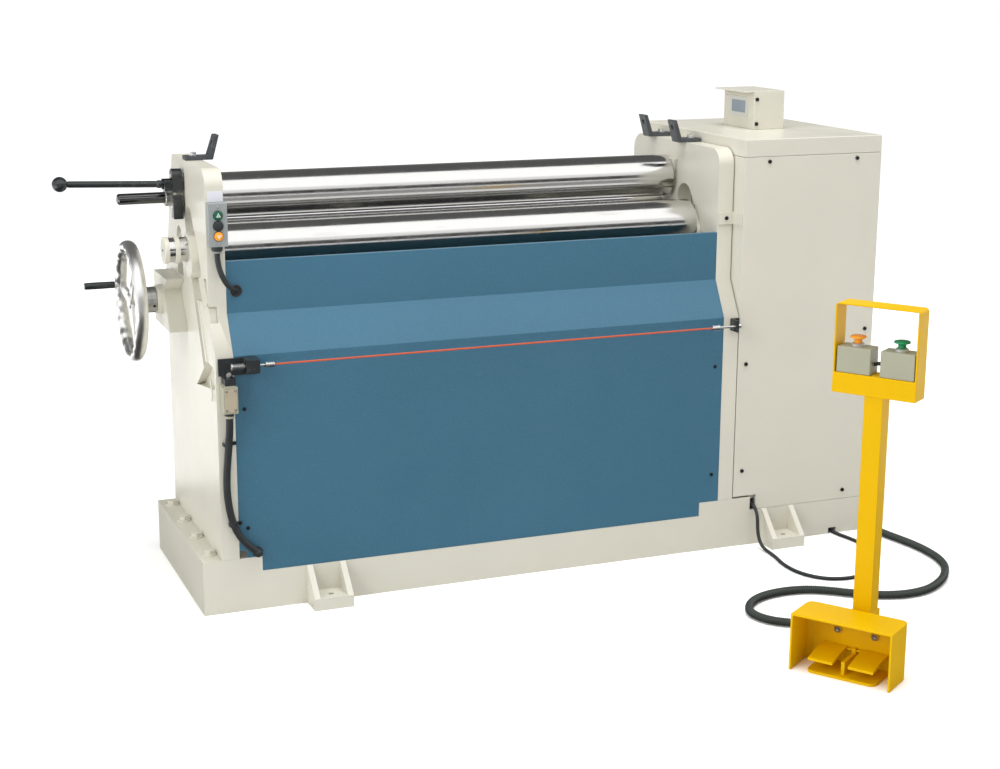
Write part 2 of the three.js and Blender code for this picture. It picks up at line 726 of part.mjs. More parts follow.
// Screws that lift the two saddles out of the frames
for (const side of [-1, 1]) {
  const name = side < 0 ? 'elevating_screw_left' : 'elevating_screw_right';
  const x = side * (frameInner + frameThickness / 2);
  const z = [saddle.low - seatGap - screw.length, saddle.low - seatGap];
  addMesh(machine, name, barZ(x, depthOf(lowerRoll.depth), z, screw.radius), finishes.steel);
}

// Ribbed link under the left block, in the frame's slanted channel
function linkSolid() {
  const x = [-frameOuter + channel.depth - seatGap - link.thickness, -frameOuter + channel.depth - seatGap];
  const raised = [x[0] - link.rib / 2, x[1]];
  const neck = outline([
    alongSlot(-link.neckEnd - link.rib, link.neckHalf),
    alongSlot(-link.neckEnd - link.rib, -link.neckHalf),
    alongSlot(-block.below, -link.neckHalf),
    alongSlot(-block.below, link.neckHalf),
  ]);
  const [frontHigh, frontLow] = [channel.topFront, channel.lowFront].map(inDepth);
  const [backHigh, backLow] = [channel.topBack, channel.lowBack].map(inDepth);
  const between = (high, low, z) => high[0] + ((low[0] - high[0]) * (high[1] - z)) / (high[1] - low[1]);
  const edge = (z) => [between(frontHigh, frontLow, z) + link.frontSlack, between(backHigh, backLow, z) - link.backSlack];
  const top = alongSlot(-link.neckEnd)[1];
  const [high, low] = [edge(top), edge(link.toe)];
  const arm = outline([[high[0], top], [low[0], link.toe], [low[1], link.toe], [high[1], top]]);
  const rib = (from, to, side) => outline([
    [from, top], [to, link.toe], [to + side * link.ribWidth, link.toe], [from + side * link.ribWidth, top],
  ]);
  const blockTool = plateX(blockOutline(seatGap), [x[0] - overrun, x[1] + overrun]);
  return cut(
    joined(plateX(neck, x), plateX(arm, x), plateX(rib(high[0], low[0], 1), raised), plateX(rib(high[1], low[1], -1), raised)),
    blockTool,
  );
}

addMesh(machine, 'bending_link', linkSolid(), finishes.cream);

// Worm housing with its stepped neck and the shaft's bore
const housingX = [-frameOuter - seatGap - housing.thickness, -frameOuter - seatGap];
const wheelY = depthOf(wheelAxis.depth);
const wheelZ = wheelAxis.height;
const neckEnd = housingX[0] - wheelHub.baseLength - wheelHub.neckLength;

function housingSolid() {
  const body = plateX(outline([
    [depthOf(housing.lowFront), housing.low],
    [depthOf(housing.back), housing.low],
    [depthOf(housing.back), housing.top],
    [depthOf(housing.lipDepth), housing.top],
    [depthOf(housing.waistDepth), housing.waist],
  ]), housingX);
  const base = barX([housingX[0] - wheelHub.baseLength, housingX[0] + overrun], wheelY, wheelZ, wheelHub.baseRadius);
  const neck = barX([neckEnd, housingX[0] + overrun], wheelY, wheelZ, wheelHub.neckRadius);
  const shaftBore = barX([neckEnd - overrun, housingX[1] - overrun], wheelY, wheelZ, wheelHub.shaft + runGap, 24);
  return cut(joined(body, base, neck), shaftBore);
}

addMesh(machine, 'worm_housing', housingSolid(), finishes.cream);

// Handwheel: rim, three spokes, hub and the shaft that enters the housing
const hubX = [neckEnd - seatGap - wheelHub.length, neckEnd - seatGap];
const wheelPlane = hubX[0] - wheel.plane;
const rimCentre = wheel.radius - wheel.rim;

function handwheelSolid() {
  const ring = [];
  const sides = 8;
  for (let i = 0; i <= sides; i += 1) {
    const angle = (i / sides) * 2 * Math.PI;
    ring.push([wheelPlane + wheel.rim * Math.sin(angle), rimCentre + wheel.rim * Math.cos(angle)]);
  }
  const rim = turnedX(ring, wheelY, wheelZ, 36);
  const hub = barX(hubX, wheelY, wheelZ, wheelHub.radius);
  const nose = turnedX([
    [wheelPlane - wheel.spokeThickness, 0],
    [wheelPlane - wheel.spokeThickness, wheelHub.neckRadius / 2],
    [hubX[0] + seatGap, wheelHub.radius - wheel.spokeThickness],
    [hubX[0] + seatGap, 0],
  ], wheelY, wheelZ, 32);
  const shaft = barX([hubX[1] - overrun, housingX[1] - wheelHub.shaftInset], wheelY, wheelZ, wheelHub.shaft, 24);
  const spokes = [0, 1, 2].map((i) => {
    const geometry = new THREE.BoxGeometry(wheel.spokeThickness, rimCentre, wheel.spokeWidth);
    geometry.translate(wheelPlane, rimCentre / 2, 0);
    geometry.rotateX(THREE.MathUtils.degToRad(wheel.phase) + (i * 2 * Math.PI) / 3);
    geometry.translate(0, wheelY, wheelZ);
    return solidOf(geometry);
  });
  const gripAngle = THREE.MathUtils.degToRad(wheel.phase);
  const gripY = wheelY + rimCentre * Math.cos(gripAngle);
  const gripZ = wheelZ + rimCentre * Math.sin(gripAngle);
  const stemX = [wheelPlane - wheel.rim - grip.stem - grip.length, wheelPlane];
  const stem = barX(stemX, gripY, gripZ, grip.stemRadius, 16);
  return joined(rim, hub, nose, shaft, ...spokes, stem);
}

addMesh(machine, 'handwheel', handwheelSolid(), finishes.chrome);

function gripSolid() {
  const gripAngle = THREE.MathUtils.degToRad(wheel.phase);
  const gripY = wheelY + rimCentre * Math.cos(gripAngle);
  const gripZ = wheelZ + rimCentre * Math.sin(gripAngle);
  const x = [wheelPlane - wheel.rim - grip.stem - grip.length, wheelPlane - wheel.rim - grip.stem / 2];
  return cut(
    barX(x, gripY, gripZ, grip.radius, 20),
    barX([x[0] - overrun, x[1] + overrun], gripY, gripZ, grip.stemRadius + runGap, 16),
  );
}

addMesh(machine, 'handwheel_grip', gripSolid(), finishes.black);

// Drop end lock: a fixed keeper, a latch on a pin and the lever in its fork
const bossTool = (gap) => barX(
  [latchX[0] - runGap, latchX[1] + overrun],
  depthOf(topRoll.depth), topRoll.height, boss.radius + gap, 48,
);

addMesh(
  machine,
  'bearing_keeper',
  cut(slab(latchX, [depthOf(keeper.front), depthOf(keeper.back)], [keeper.low, keeper.high]), bossTool(runGap)),
  finishes.black,
);

function latchSolid() {
  const y = [depthOf(latch.front), depthOf(latch.back)];
  const pinY = depthOf(latch.pinDepth);
  const plate = slab(latchX, y, [latch.low, latch.pinHeight]);
  const crown = barX(latchX, pinY, latch.pinHeight, latch.crown, 28);
  const hole = barX([latchX[0] - overrun, latchX[1] + overrun], pinY, latch.pinHeight, latch.pinRadius + runGap, 16);
  const forkY = depthOf(fork.depth);
  const earSpan = [fork.half, fork.half + fork.ear];
  const earZ = [latch.low + fork.pinRadius, fork.height + fork.half / 2 + fork.pinRadius];
  const ears = [-1, 1].map((side) => slab(
    [latchX[0] - fork.reach, latchX[0] + overrun],
    [forkY + Math.min(side * earSpan[0], side * earSpan[1]), forkY + Math.max(side * earSpan[0], side * earSpan[1])],
    earZ,
  ));
  const pin = barY(latchX[0] - fork.reach / 2, [forkY - earSpan[1], forkY + earSpan[1]], fork.height, fork.pinRadius, 16);
  const relief = slab(
    [-frameOuter - boss.length - runGap, latchX[1] + overrun],
    [depthOf(latch.relief), depthOf(latch.back) + overrun],
    [latch.low - overrun, latch.pinHeight + overrun],
  );
  return joined(cut(joined(plate, crown, ...ears), hole, relief, bossTool(latch.swingGap)), pin);
}

addMesh(machine, 'lock_latch', latchSolid(), finishes.black);

function leverSolid() {
  const forkY = depthOf(fork.depth);
  const pinX = latchX[0] - fork.reach / 2;
  const knuckleHalf = fork.half - runGap;
  const knuckle = barY(pinX, [forkY - knuckleHalf, forkY + knuckleHalf], fork.height, lever.knuckle - runGap, 24);
  const hole = barY(pinX, [forkY - fork.half, forkY + fork.half], fork.height, fork.pinRadius + runGap, 16);
  const rod = new THREE.CylinderGeometry(lever.radius, lever.radius, lever.length, 16);
  rod.rotateZ(Math.PI / 2);
  rod.translate(-lever.length / 2 - fork.pinRadius - runGap, 0, 0);
  const ball = new THREE.SphereGeometry(lever.ball, 14, 8);
  ball.translate(-lever.length - lever.ball / 2, 0, 0);
  const tilt = Math.asin(lever.rise / lever.length);
  const placed = [rod, ball].map((geometry) => {
    geometry.rotateY(tilt);
    geometry.translate(pinX, forkY, fork.height);
    return solidOf(geometry);
  });
  return cut(joined(knuckle, ...placed), hole);
}

addMesh(machine, 'lock_lever', leverSolid(), finishes.black);

// Push button box on the left frame, its three buttons and its conduit
const boxX = [-frameOuter + buttonBox.left, -frameOuter + buttonBox.left + buttonBox.width];
const boxBack = depthOf(slope.depth) - seatGap;
const boxFront = boxBack - buttonBox.depth;
const boxMiddle = (boxX[0] + boxX[1]) / 2;
const glandX = boxMiddle - buttonBox.left;
const glandY = (boxFront + boxBack) / 2;

function buttonBoxSolid() {
  const body = slab(boxX, [boxFront, boxBack], [buttonBox.low, buttonBox.low + buttonBox.height]);
  const gland = barZ(glandX, glandY, [buttonBox.low - buttonBox.gland, buttonBox.low + overrun], buttonBox.glandRadius, 16);
  const holes = boxButtons.map((button) => barY(
    boxMiddle, [boxFront - overrun, boxFront + buttonBox.holeDepth], button.height, button.radius + runGap,
  ));
  return cut(joined(body, gland), ...holes);
}

addMesh(machine, 'button_box', buttonBoxSolid(), finishes.grey);

const buttonFinishes = {
  up_button: finishes.green, stop_button: finishes.black, down_button: finishes.orange,
};
for (const button of boxButtons) {
  addMesh(
    machine,
    button.name,
    barY(boxMiddle, [boxFront - buttonProud, boxFront + buttonDepth], button.height, button.radius),
    buttonFinishes[button.name],
  );
}

const boxConduitRoute = [
  [glandX, glandY, buttonBox.low - buttonBox.gland - seatGap],
  [glandX, glandY, 846],
  [-656.5, -226.6, 833],
  [-653.5, -229, 815],
  [-647, -231, 797],
  [-638, -230, 781],
  [-627, -225, holeHeight + 8],
  [-617, -216, holeHeight + 1],
  [-608, -203, holeHeight - 4],
];
addMesh(machine, 'button_box_conduit', tubeAlong(boxConduitRoute, boxConduit.radius, 18, 8), finishes.rubber);

// Trip wire: bracket and guide block, spring, wire with its rods and clamps, anchor
const plateLeft = -frameOuter + tripPlate.left;
const plateRight = plateLeft + tripPlate.width;
const wireY = front - trip.reach;
const blockX = [plateRight - tripBlock.width, plateRight];
const plateY0 = front - seatGap - tripPlate.thickness;

function tripBracketSolid() {
  const plate = slab([plateLeft, plateRight], [plateY0, front - seatGap], [tripPlateLow, tripPlateLow + tripPlate.height]);
  const guide = slab(
    blockX,
    [wireY - tripBlock.half, front - seatGap],
    [trip.height - tripBlock.half, trip.height + tripBlock.half],
  );
  const bore = barX([blockX[0] - overrun, blockX[1] + overrun], wireY, trip.height, trip.rodRadius + runGap, 16);
  return cut(joined(plate, guide), bore);
}

addMesh(machine, 'trip_bracket', tripBracketSolid(), finishes.black);

// A wound spring along X as one unbroken tube, its ends run straight out for one wire diameter
function springGeometry(x, y, z, radius, wire, curls) {
  const steps = 8;
  const sides = 5;
  const length = x[1] - x[0] - 2 * wire;
  const centres = [];
  for (let i = 0; i <= curls * steps; i += 1) {
    const angle = (i / steps) * 2 * Math.PI;
    const along = x[0] + wire + (length * i) / (curls * steps);
    centres.push(new THREE.Vector3(along, y + radius * Math.cos(angle), z + radius * Math.sin(angle)));
  }
  const tangent = (i) => {
    const before = centres[Math.max(i - 1, 0)];
    const after = centres[Math.min(i + 1, centres.length - 1)];
    return after.clone().sub(before).normalize();
  };
  const first = centres[0].clone().addScaledVector(tangent(0), -2 * wire);
  const last = centres.at(-1).clone().addScaledVector(tangent(centres.length - 1), 2 * wire);
  const path = [first, ...centres, last];
  const positions = [];
  path.forEach((centre, i) => {
    const before = path[Math.max(i - 1, 0)];
    const after = path[Math.min(i + 1, path.length - 1)];
    const run = after.clone().sub(before).normalize();
    const out = new THREE.Vector3(0, centre.y - y, centre.z - z).normalize();
    const up = run.clone().cross(out).normalize();
    const side = up.clone().cross(run).normalize();
    for (let j = 0; j < sides; j += 1) {
      const angle = (j / sides) * 2 * Math.PI;
      const point = centre.clone();
      point.addScaledVector(side, wire * Math.cos(angle));
      point.addScaledVector(up, wire * Math.sin(angle));
      positions.push(point.x, point.y, point.z);
    }
  });
  const index = [];
  const rings = path.length;
  for (let i = 0; i < rings - 1; i += 1) {
    for (let j = 0; j < sides; j += 1) {
      const [a, b] = [i * sides + j, i * sides + ((j + 1) % sides)];
      const [c, d] = [a + sides, b + sides];
      index.push(a, b, d, a, d, c);
    }
  }
  for (let j = 1; j < sides - 1; j += 1) {
    index.push(0, j + 1, j);
    const end = (rings - 1) * sides;
    index.push(end, end + j, end + j + 1);
  }
  let least = Infinity;
  for (let i = 0; i < path.length; i += 1) {
    for (let k = i + steps / 2 + 1; k < path.length; k += 1) {
      least = Math.min(least, path[i].distanceTo(path[k]) - 2 * wire);
    }
  }
  console.log(`trip_spring: least gap between its curls ${least.toFixed(2)} mm`);
  const geometry = new THREE.BufferGeometry();
  geometry.setAttribute('position', new THREE.Float32BufferAttribute(positions, 3));
  geometry.setIndex(index);
  geometry.computeVertexNormals();
  return geometry;
}

const springX = [blockX[0] - seatGap - tripSpring.length, blockX[0] - seatGap];
addMesh(
  machine,
  'trip_spring',
  springGeometry(springX, wireY, trip.height, tripSpring.radius, tripSpring.wire, tripSpring.curls),
  finishes.black,
);

const anchorX = [frameOuter - anchor.width, frameOuter - anchor.width + anchor.ear];
const headX = [springX[0] - seatGap - trip.head, springX[0] - seatGap];
const wireEndX = anchorX[1] + anchor.tail;

function tripWireSolid() {
  const bar = (x, radius, sides = 12) => barX(x, wireY, trip.height, radius, sides);
  const leftClamp = [blockX[1] + clamp.leftFrom, blockX[1] + clamp.leftFrom + clamp.length];
  const rightClamp = [frameInner - clamp.rightFrom, frameInner - clamp.rightFrom + clamp.length];
  return joined(
    bar(headX, trip.headRadius, 16),
    bar([headX[0], leftClamp[1]], trip.rodRadius),
    bar(leftClamp, clamp.radius),
    bar([leftClamp[0], rightClamp[1]], trip.wireRadius, 8),
    bar(rightClamp, clamp.radius),
    bar([rightClamp[0], wireEndX], trip.rodRadius),
    bar([wireEndX - trip.head, wireEndX], trip.headRadius - trip.rodRadius, 6),
  );
}

addMesh(machine, 'trip_wire', tripWireSolid(), finishes.wire);

function anchorSolid() {
  const z = [trip.height - anchor.half, trip.height + anchor.half];
  const base = slab([anchorX[0], frameOuter], [front - seatGap - anchor.ear, front - seatGap], z);
  const ear = slab(anchorX, [wireY - anchor.half / 2, front - seatGap], z);
  const bore = barX([anchorX[0] - overrun, anchorX[1] + overrun], wireY, trip.height, trip.rodRadius + runGap, 16);
  return cut(joined(base, ear), bore);
}

addMesh(machine, 'wire_anchor', anchorSolid(), finishes.black);

// Limit switch under the bracket, its roller plunger and its conduit down to the cover
const switchX = [-frameOuter + limitSwitch.left, -frameOuter + limitSwitch.left + limitSwitch.width];
const switchMiddle = (switchX[0] + switchX[1]) / 2;
const switchY = [front - seatGap - limitSwitch.depth, front - seatGap];
const switchTop = switchLow + limitSwitch.height;
const switchCentreY = (switchY[0] + switchY[1]) / 2;
const headTop = switchTop + limitSwitch.head - seatGap;

function limitSwitchSolid() {
  const body = slab(switchX, switchY, [switchLow, switchTop]);
  const half = limitSwitch.headWidth / 2;
  const head = slab([switchMiddle - half, switchMiddle + half], [switchY[0], switchY[1] - sheet], [switchTop - overrun, headTop]);
  const gland = barZ(switchMiddle, switchCentreY, [switchLow - limitSwitch.gland, switchLow + overrun], limitSwitch.glandRadius, 16);
  const bore = barZ(switchMiddle, switchCentreY, [headTop - plunger.sunk - plunger.radius, headTop + overrun], plunger.radius + runGap, 16);
  return cut(joined(body, head, gland), bore);
}

addMesh(machine, 'limit_switch', limitSwitchSolid(), finishes.grey);

function plungerSolid() {
  const top = headTop + plunger.proud;
  const stem = barZ(switchMiddle, switchCentreY, [headTop - plunger.sunk, top - plunger.roller], plunger.radius, 16);
  const half = plunger.rollerWidth / 2;
  const roller = barY(switchMiddle, [switchCentreY - half, switchCentreY + half], top - plunger.roller, plunger.roller, 16);
  return joined(stem, roller);
}

addMesh(machine, 'switch_plunger', plungerSolid(), finishes.darkSteel);

const conduitFoot = 147;
const conduitStart = switchLow - limitSwitch.gland - seatGap;
const conduitDrop = (share) => conduitFoot + share * (conduitStart - conduitFoot);
const switchConduitRoute = [
  [switchMiddle, switchCentreY, conduitStart],
  [switchMiddle, switchCentreY, conduitDrop(0.9643)],
  [-655.4, -284, conduitDrop(0.9102)],
  [-656.5, -280, conduitDrop(0.8351)],
  [-659, -277, conduitDrop(0.7299)],
  [-662.5, -276, conduitDrop(0.6158)],
  [-664, -276, conduitDrop(0.4957)],
  [-661.5, -276, conduitDrop(0.3755)],
  [-655, -276, conduitDrop(0.2644)],
  [-644, -276, conduitDrop(0.1682)],
  [-629, -276, conduitDrop(0.0931)],
  [-612, -275.5, conduitDrop(0.0391)],
  [-597, -274.6, conduitFoot],
];
addMesh(machine, 'switch_conduit', tubeAlong(switchConduitRoute, switchConduit.radius, 22, 8), finishes.rubber);

// Work stops: bent straps bolted to the frame tops, leaning over the rolls
function workStopSolid(side) {
  const half = workStop.width / 2;
  const lean = workStop.lean;
  const t = workStop.thickness;
  const strap = outline([
    [0, 0],
    [workStop.base, 0],
    [workStop.base, t],
    [t, t],
    [t - lean, workStop.upright],
    [-lean, workStop.upright],
  ]);
  const plate = plateY(strap, [-half, half]);
  const hole = barX([-lean - overrun, t + overrun], 0, workStop.upright * workStop.holeShare, workStop.holeRadius, 16);
  const bolt = barZ(workStop.base * workStop.boltShare, 0, [t - seatGap, t + workStop.bolt], workStop.boltRadius, 6);
  const solid = joined(cut(plate, hole), bolt);
  return side > 0 ? solid : solid.mirror([1, 0, 0]);
}

const stops = [
  { name: 'work_stop_left', side: -1, depth: stopDepths.left },
  { name: 'work_stop_front_right', side: 1, depth: stopDepths.frontRight },
  { name: 'work_stop_rear_right', side: 1, depth: stopDepths.rearRight },
];
for (const stop of stops) {
  const x = stop.side * (frameOuter - workStop.base);
  const solid = workStopSolid(stop.side).translate([x, depthOf(stop.depth), frameTop + seatGap]);
  addMesh(machine, stop.name, solid, finishes.darkSteel);
}

// Chain drive inside the cabinet
const sprocketX = [cabinetLeft + sprocket.inset, cabinetLeft + sprocket.inset + sprocket.width];
const topY = depthOf(topRoll.depth);
const shaftZ = plinth.height + gearbox.shaftHeight;

function discSolid(y, z, radius, bore) {
  return cut(
    barX(sprocketX, y, z, radius, 28),
    barX([sprocketX[0] - overrun, sprocketX[1] + overrun], y, z, bore, 20),
  );
}

addMesh(machine, 'top_roll_sprocket', discSolid(topY, topRoll.height, sprocket.rollRadius, sprocket.bore + seatGap), finishes.darkSteel);
addMesh(machine, 'motor_sprocket', discSolid(topY, shaftZ, sprocket.motorRadius, sprocket.bore + runGap), finishes.darkSteel);

// Loop of one thickness round both sprockets: arcs joined by their two tangents
function chainLoop(extra) {
  const [big, small] = [sprocket.rollRadius + extra, sprocket.motorRadius + extra];
  const spread = Math.asin((big - small) / (topRoll.height - shaftZ));
  const shape = new THREE.Shape();
  shape.absarc(topY, topRoll.height, big, -spread, Math.PI + spread, false);
  shape.absarc(topY, shaftZ, small, Math.PI + spread, 2 * Math.PI - spread, false);
  shape.closePath();
  return shape;
}

addMesh(
  machine,
  'drive_chain',
  cut(
    plateX(chainLoop(runGap + chain.thickness), sprocketX, 10),
    plateX(chainLoop(runGap - seatGap / 2), [sprocketX[0] - overrun, sprocketX[1] + overrun], 10),
  ),
  finishes.darkSteel,
);

function gearmotorSolid() {
  const x = [cabinetLeft + gearbox.inset, cabinetLeft + gearbox.inset + gearbox.width];
  const y = [depthOf(gearbox.front), depthOf(gearbox.front + gearbox.depth)];
  const box = slab(x, y, [plinth.height + seatGap, plinth.height + gearbox.height]);
  const shaft = barX([sprocketX[0] - seatGap, x[0] + overrun], topY, shaftZ, sprocket.bore, 24);
  const can = barX([x[1] - overrun, x[1] + motor.length], topY, shaftZ, motor.radius, 32);
  return joined(box, shaft, can);
}

addMesh(machine, 'gearmotor', gearmotorSolid(), finishes.grey);

// Pedal and button station in its own frame: x along its front, -y towards the operator's foot
const stationGroup = new THREE.Group();
stationGroup.position.set(station.x, depthOf(station.depth), 0);
stationGroup.rotation.z = THREE.MathUtils.degToRad(station.turn);
machine.add(stationGroup);

// Outline from the open front round the back, as arcs at the two back corners
function hoodOutline(inset) {
  const half = hood.width / 2 - inset;
  const back = hood.depth / 2 - inset;
  const open = -hood.depth / 2 - (inset > 0 ? overrun : 0);
  const corner = hood.corner - inset;
  const shape = new THREE.Shape();
  shape.moveTo(-half, open);
  shape.lineTo(half, open);
  shape.lineTo(half, back - corner);
  shape.absarc(half - corner, back - corner, corner, 0, Math.PI / 2, false);
  shape.absarc(-half + corner, back - corner, corner, Math.PI / 2, Math.PI, false);
  shape.closePath();
  return shape;
}

const glandMouth = hood.depth / 2 + hoseGland.length;
const hoodSolid = joined(
  cut(
    plateZ(hoodOutline(0), [0, hood.height]),
    plateZ(hoodOutline(hood.wall), [-overrun, hood.height - hood.wall]),
  ),
  barY(hoseGland.offset, [hood.depth / 2 - hood.wall / 2, glandMouth], hoseGland.height, hoseGland.radius, 20),
);
addMesh(stationGroup, 'pedal_hood', hoodSolid, finishes.yellow);

const postFront = hood.depth / 2 + seatGap;

function postSolid() {
  const half = post.width / 2;
  const foot = slab([-postBase.width / 2, postBase.width / 2], [postFront, postFront + postBase.depth], [0, postBase.height]);
  const tube = slab([-half, half], [post.depth - half, post.depth + half], [0, post.top]);
  const wide = head.width / 2;
  const y = [head.front, head.front + head.depth];
  const loop = cut(
    slab([-wide, wide], y, [head.low, head.high]),
    slab([-wide + head.wall, wide - head.wall], [y[0] - overrun, y[1] + overrun], [head.shelf, head.high - head.wall]),
    slab([-wide + head.wall, wide - head.wall], [y[0] + head.wall, y[1] + overrun], [head.low + head.wall, head.shelf - head.wall]),
  );
  return joined(foot, tube, loop);
}

addMesh(stationGroup, 'station_post', postSolid(), finishes.yellow);

// Pedal unit under the hood: its plate, the divider that carries the shaft, and the two pedals
const pedalBack = hood.depth / 2 - hood.wall - seatGap;
const pedalHingeY = -pedalBase.front + pedal.length;
const pedalHingeZ = pedal.backHeight - pedal.hinge;

function pedalBaseSolid() {
  const half = pedalBase.width / 2;
  const shape = new THREE.Shape();
  const corner = pedalBase.corner;
  shape.moveTo(half, pedalBack);
  shape.lineTo(-half, pedalBack);
  shape.lineTo(-half, -pedalBase.front + corner);
  shape.absarc(-half + corner, -pedalBase.front + corner, corner, Math.PI, Math.PI * 3 / 2, false);
  shape.absarc(half - corner, -pedalBase.front + corner, corner, -Math.PI / 2, 0, false);
  shape.closePath();
  const plate = plateZ(shape, [0, pedalBase.thickness]);
  const dividerX = [-pedalBase.divider / 2, pedalBase.divider / 2];
  const divider = slab(
    dividerX, [-pedalBase.front + pedalBase.corner, pedalBack], [0, pedalBase.thickness + pedalBase.dividerRise],
  );
  const lug = slab(dividerX, [pedalHingeY - pedal.hinge, pedalBack], [0, pedalHingeZ + pedal.hinge]);
  const reach = pedal.inner + pedal.width;
  const shaft = barX([-reach, reach], pedalHingeY, pedalHingeZ, pedal.hinge / 2, 12);
  return joined(plate, divider, lug, shaft);
}

addMesh(stationGroup, 'pedal_base', pedalBaseSolid(), finishes.yellow);

function pedalSolid(side) {
  const tipY = -pedalBase.front;
  const t = pedal.thickness;
  const middle = (tipY + pedalHingeY) / 2;
  const crown = (pedal.frontHeight + pedal.backHeight) / 2 + t / 2;
  const shape = outline([
    [tipY, pedal.frontHeight - t],
    [middle, crown - t],
    [pedalHingeY, pedal.backHeight - t],
    [pedalHingeY, pedal.backHeight],
    [middle, crown],
    [tipY, pedal.frontHeight],
  ]);
  const x = side < 0 ? [-pedal.inner - pedal.width, -pedal.inner] : [pedal.inner, pedal.inner + pedal.width];
  const tread = plateX(shape, x);
  const barrel = barX(x, pedalHingeY, pedalHingeZ, pedal.hinge, 16);
  const bore = barX([x[0] - overrun, x[1] + overrun], pedalHingeY, pedalHingeZ, pedal.hinge / 2 + runGap, 12);
  return cut(joined(tread, barrel), bore);
}

addMesh(stationGroup, 'pedal_left', pedalSolid(-1), finishes.yellow);
addMesh(stationGroup, 'pedal_right', pedalSolid(1), finishes.yellow);

// Two palm buttons in boxes on the head's shelf
const palmUnits = [
  { box: 'button_unit_left', button: 'palm_button_left', side: -1, finish: finishes.orange },
  { box: 'button_unit_right', button: 'palm_button_right', side: 1, finish: finishes.green },
];
for (const unit of palmUnits) {
  const inner = unit.side * (head.width / 2 - head.wall - palmBox.side - palmBox.width);
  const outer = unit.side * (head.width / 2 - head.wall - palmBox.side);
  const x = [Math.min(inner, outer), Math.max(inner, outer)];
  const y = [head.front + palmBox.inset, head.front + palmBox.inset + palmBox.depth];
  const [cx, cy] = [(x[0] + x[1]) / 2, (y[0] + y[1]) / 2];
  const low = head.shelf + seatGap;
  const top = low + palmBox.height;
  const collar = barZ(cx, cy, [top - overrun, top + palmButton.collar], palmButton.collarRadius);
  const bore = barZ(cx, cy, [top - palmButton.stem - overrun, top + palmButton.collar + overrun], palmButton.stemRadius + runGap);
  addMesh(stationGroup, unit.box, cut(joined(slab(x, y, [low, top]), collar), bore), finishes.grey);
  const capLow = top + palmButton.collar + palmButton.travelGap;
  const cap = barZ(cx, cy, [capLow, capLow + palmButton.cap], palmButton.radius, 28);
  const stem = barZ(cx, cy, [top - palmButton.stem + palmButton.travelGap, capLow + palmButton.collar], palmButton.stemRadius);
  addMesh(stationGroup, unit.button, joined(cap, stem), unit.finish);
}

// Elbow on the plinth's right end, its mouth towards the operator
const elbowX = cabinetRight + elbow.reach;
const elbowMouth = depthOf(elbow.depth);
addMesh(
  machine,
  'hose_elbow',
  joined(
    barX([cabinetRight + seatGap, elbowX + elbow.radius], elbowMouth + 2 * elbow.radius, elbow.height, elbow.radius, 20),
    barY(elbowX, [elbowMouth, elbowMouth + 2 * elbow.radius], elbow.height, elbow.radius, 20),
  ),
  finishes.black,
);

// Ribbed hose from the pedals to the elbow; the points are the middle of the hose
function stationPoint(x, y, z) {
  return new THREE.Vector3(x, y, z)
    .applyAxisAngle(new THREE.Vector3(0, 0, 1), stationGroup.rotation.z)
    .add(stationGroup.position)
    .toArray();
}

const hoseRoute = [
  stationPoint(hoseGland.offset, glandMouth + seatGap, hoseGland.height),
  stationPoint(hoseGland.offset, glandMouth + hose.straight, hoseGland.height),
  stationPoint(hoseGland.offset, glandMouth + 2 * hose.straight, hoseGland.height),
  [584, -973, 13],
  [602, -940, 11],
  [601, -902, 11],
  [585, -869, 11],
  [557, -843, 11],
  [522, -821, 11],
  [494, -796, 11],
  [478, -766, 11],
  [475, -732, 11],
  [489, -698, 11],
  [520, -666, 11],
  [562, -645, 11],
  [610, -637, 11],
  [656, -640, 11],
  [697, -654, 11],
  [732, -677, 11],
  [770, -708, 11],
  [821, -740, 11],
  [882, -759, 11],
  [952, -752, 11],
  [1022, -712, 11],
  [1070, -664, 11],
  [1101, -618, 11],
  [1119, -564, 11],
  [1125, -503, 11],
  [1122, -448, 11],
  [1113, -396, 11],
  [1104, -346, 11],
  [1100, -292, 11],
  [1101, -242, 12],
  [1106, -206, 18],
  [1110, -182, 25],
  [elbowX, elbowMouth - elbow.lead, elbow.height],
  [elbowX, elbowMouth - elbow.lead / 2, elbow.height],
  [elbowX, elbowMouth - seatGap, elbow.height],
];

addMesh(machine, 'ribbed_hose', tubeAlong(hoseRoute, hose.radius, 64, 8), finishes.rubber);

// Thin cable from beside the cabinet, over the floor and back under the plinth
const clampFace = depthOf(cableClamp.inset) - seatGap;
const cableRoute = [
  [cableX, clampFace, 110],
  [cableX, clampFace - thinCable.straight, 110],
  [cableX, -250, 110],
  [741.7, -272, 106],
  [741, -288, 94],
  [740.2, -296, 76],
  [739.8, -299, 56],
  [740, -304, 36],
  [741, -316, 18],
  [742.5, -334, 8],
  [744, -356, 5],
  [740, -395, 5],
  [733, -433, 5],
  [730, -470, 5],
  [734, -512, 5],
  [750, -553, 5],
  [780, -584, 5],
  [822, -598, 5],
  [865, -594, 5],
  [906, -571, 5],
  [946, -535, 5],
  [981, -488, 5],
  [1003, -433, 5],
  [1008, -380, 5],
  [1002, -330, 5],
  [994, -290, 5],
  [cableEndX, -262, 5],
  [cableEndX, clampFace - thinCable.straight, 5],
  [cableEndX, clampFace, 5],
];
addMesh(machine, 'thin_cable', tubeAlong(cableRoute, thinCable.radius, 58, 8), finishes.rubber);

export default machine;
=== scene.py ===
"""Looks for a plate rolling machine with a foot pedal station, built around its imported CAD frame."""

import json
import logging
import math
from dataclasses import dataclass
from enum import Enum
from typing import Any, Sequence

import bpy
from mathutils import Matrix, Vector

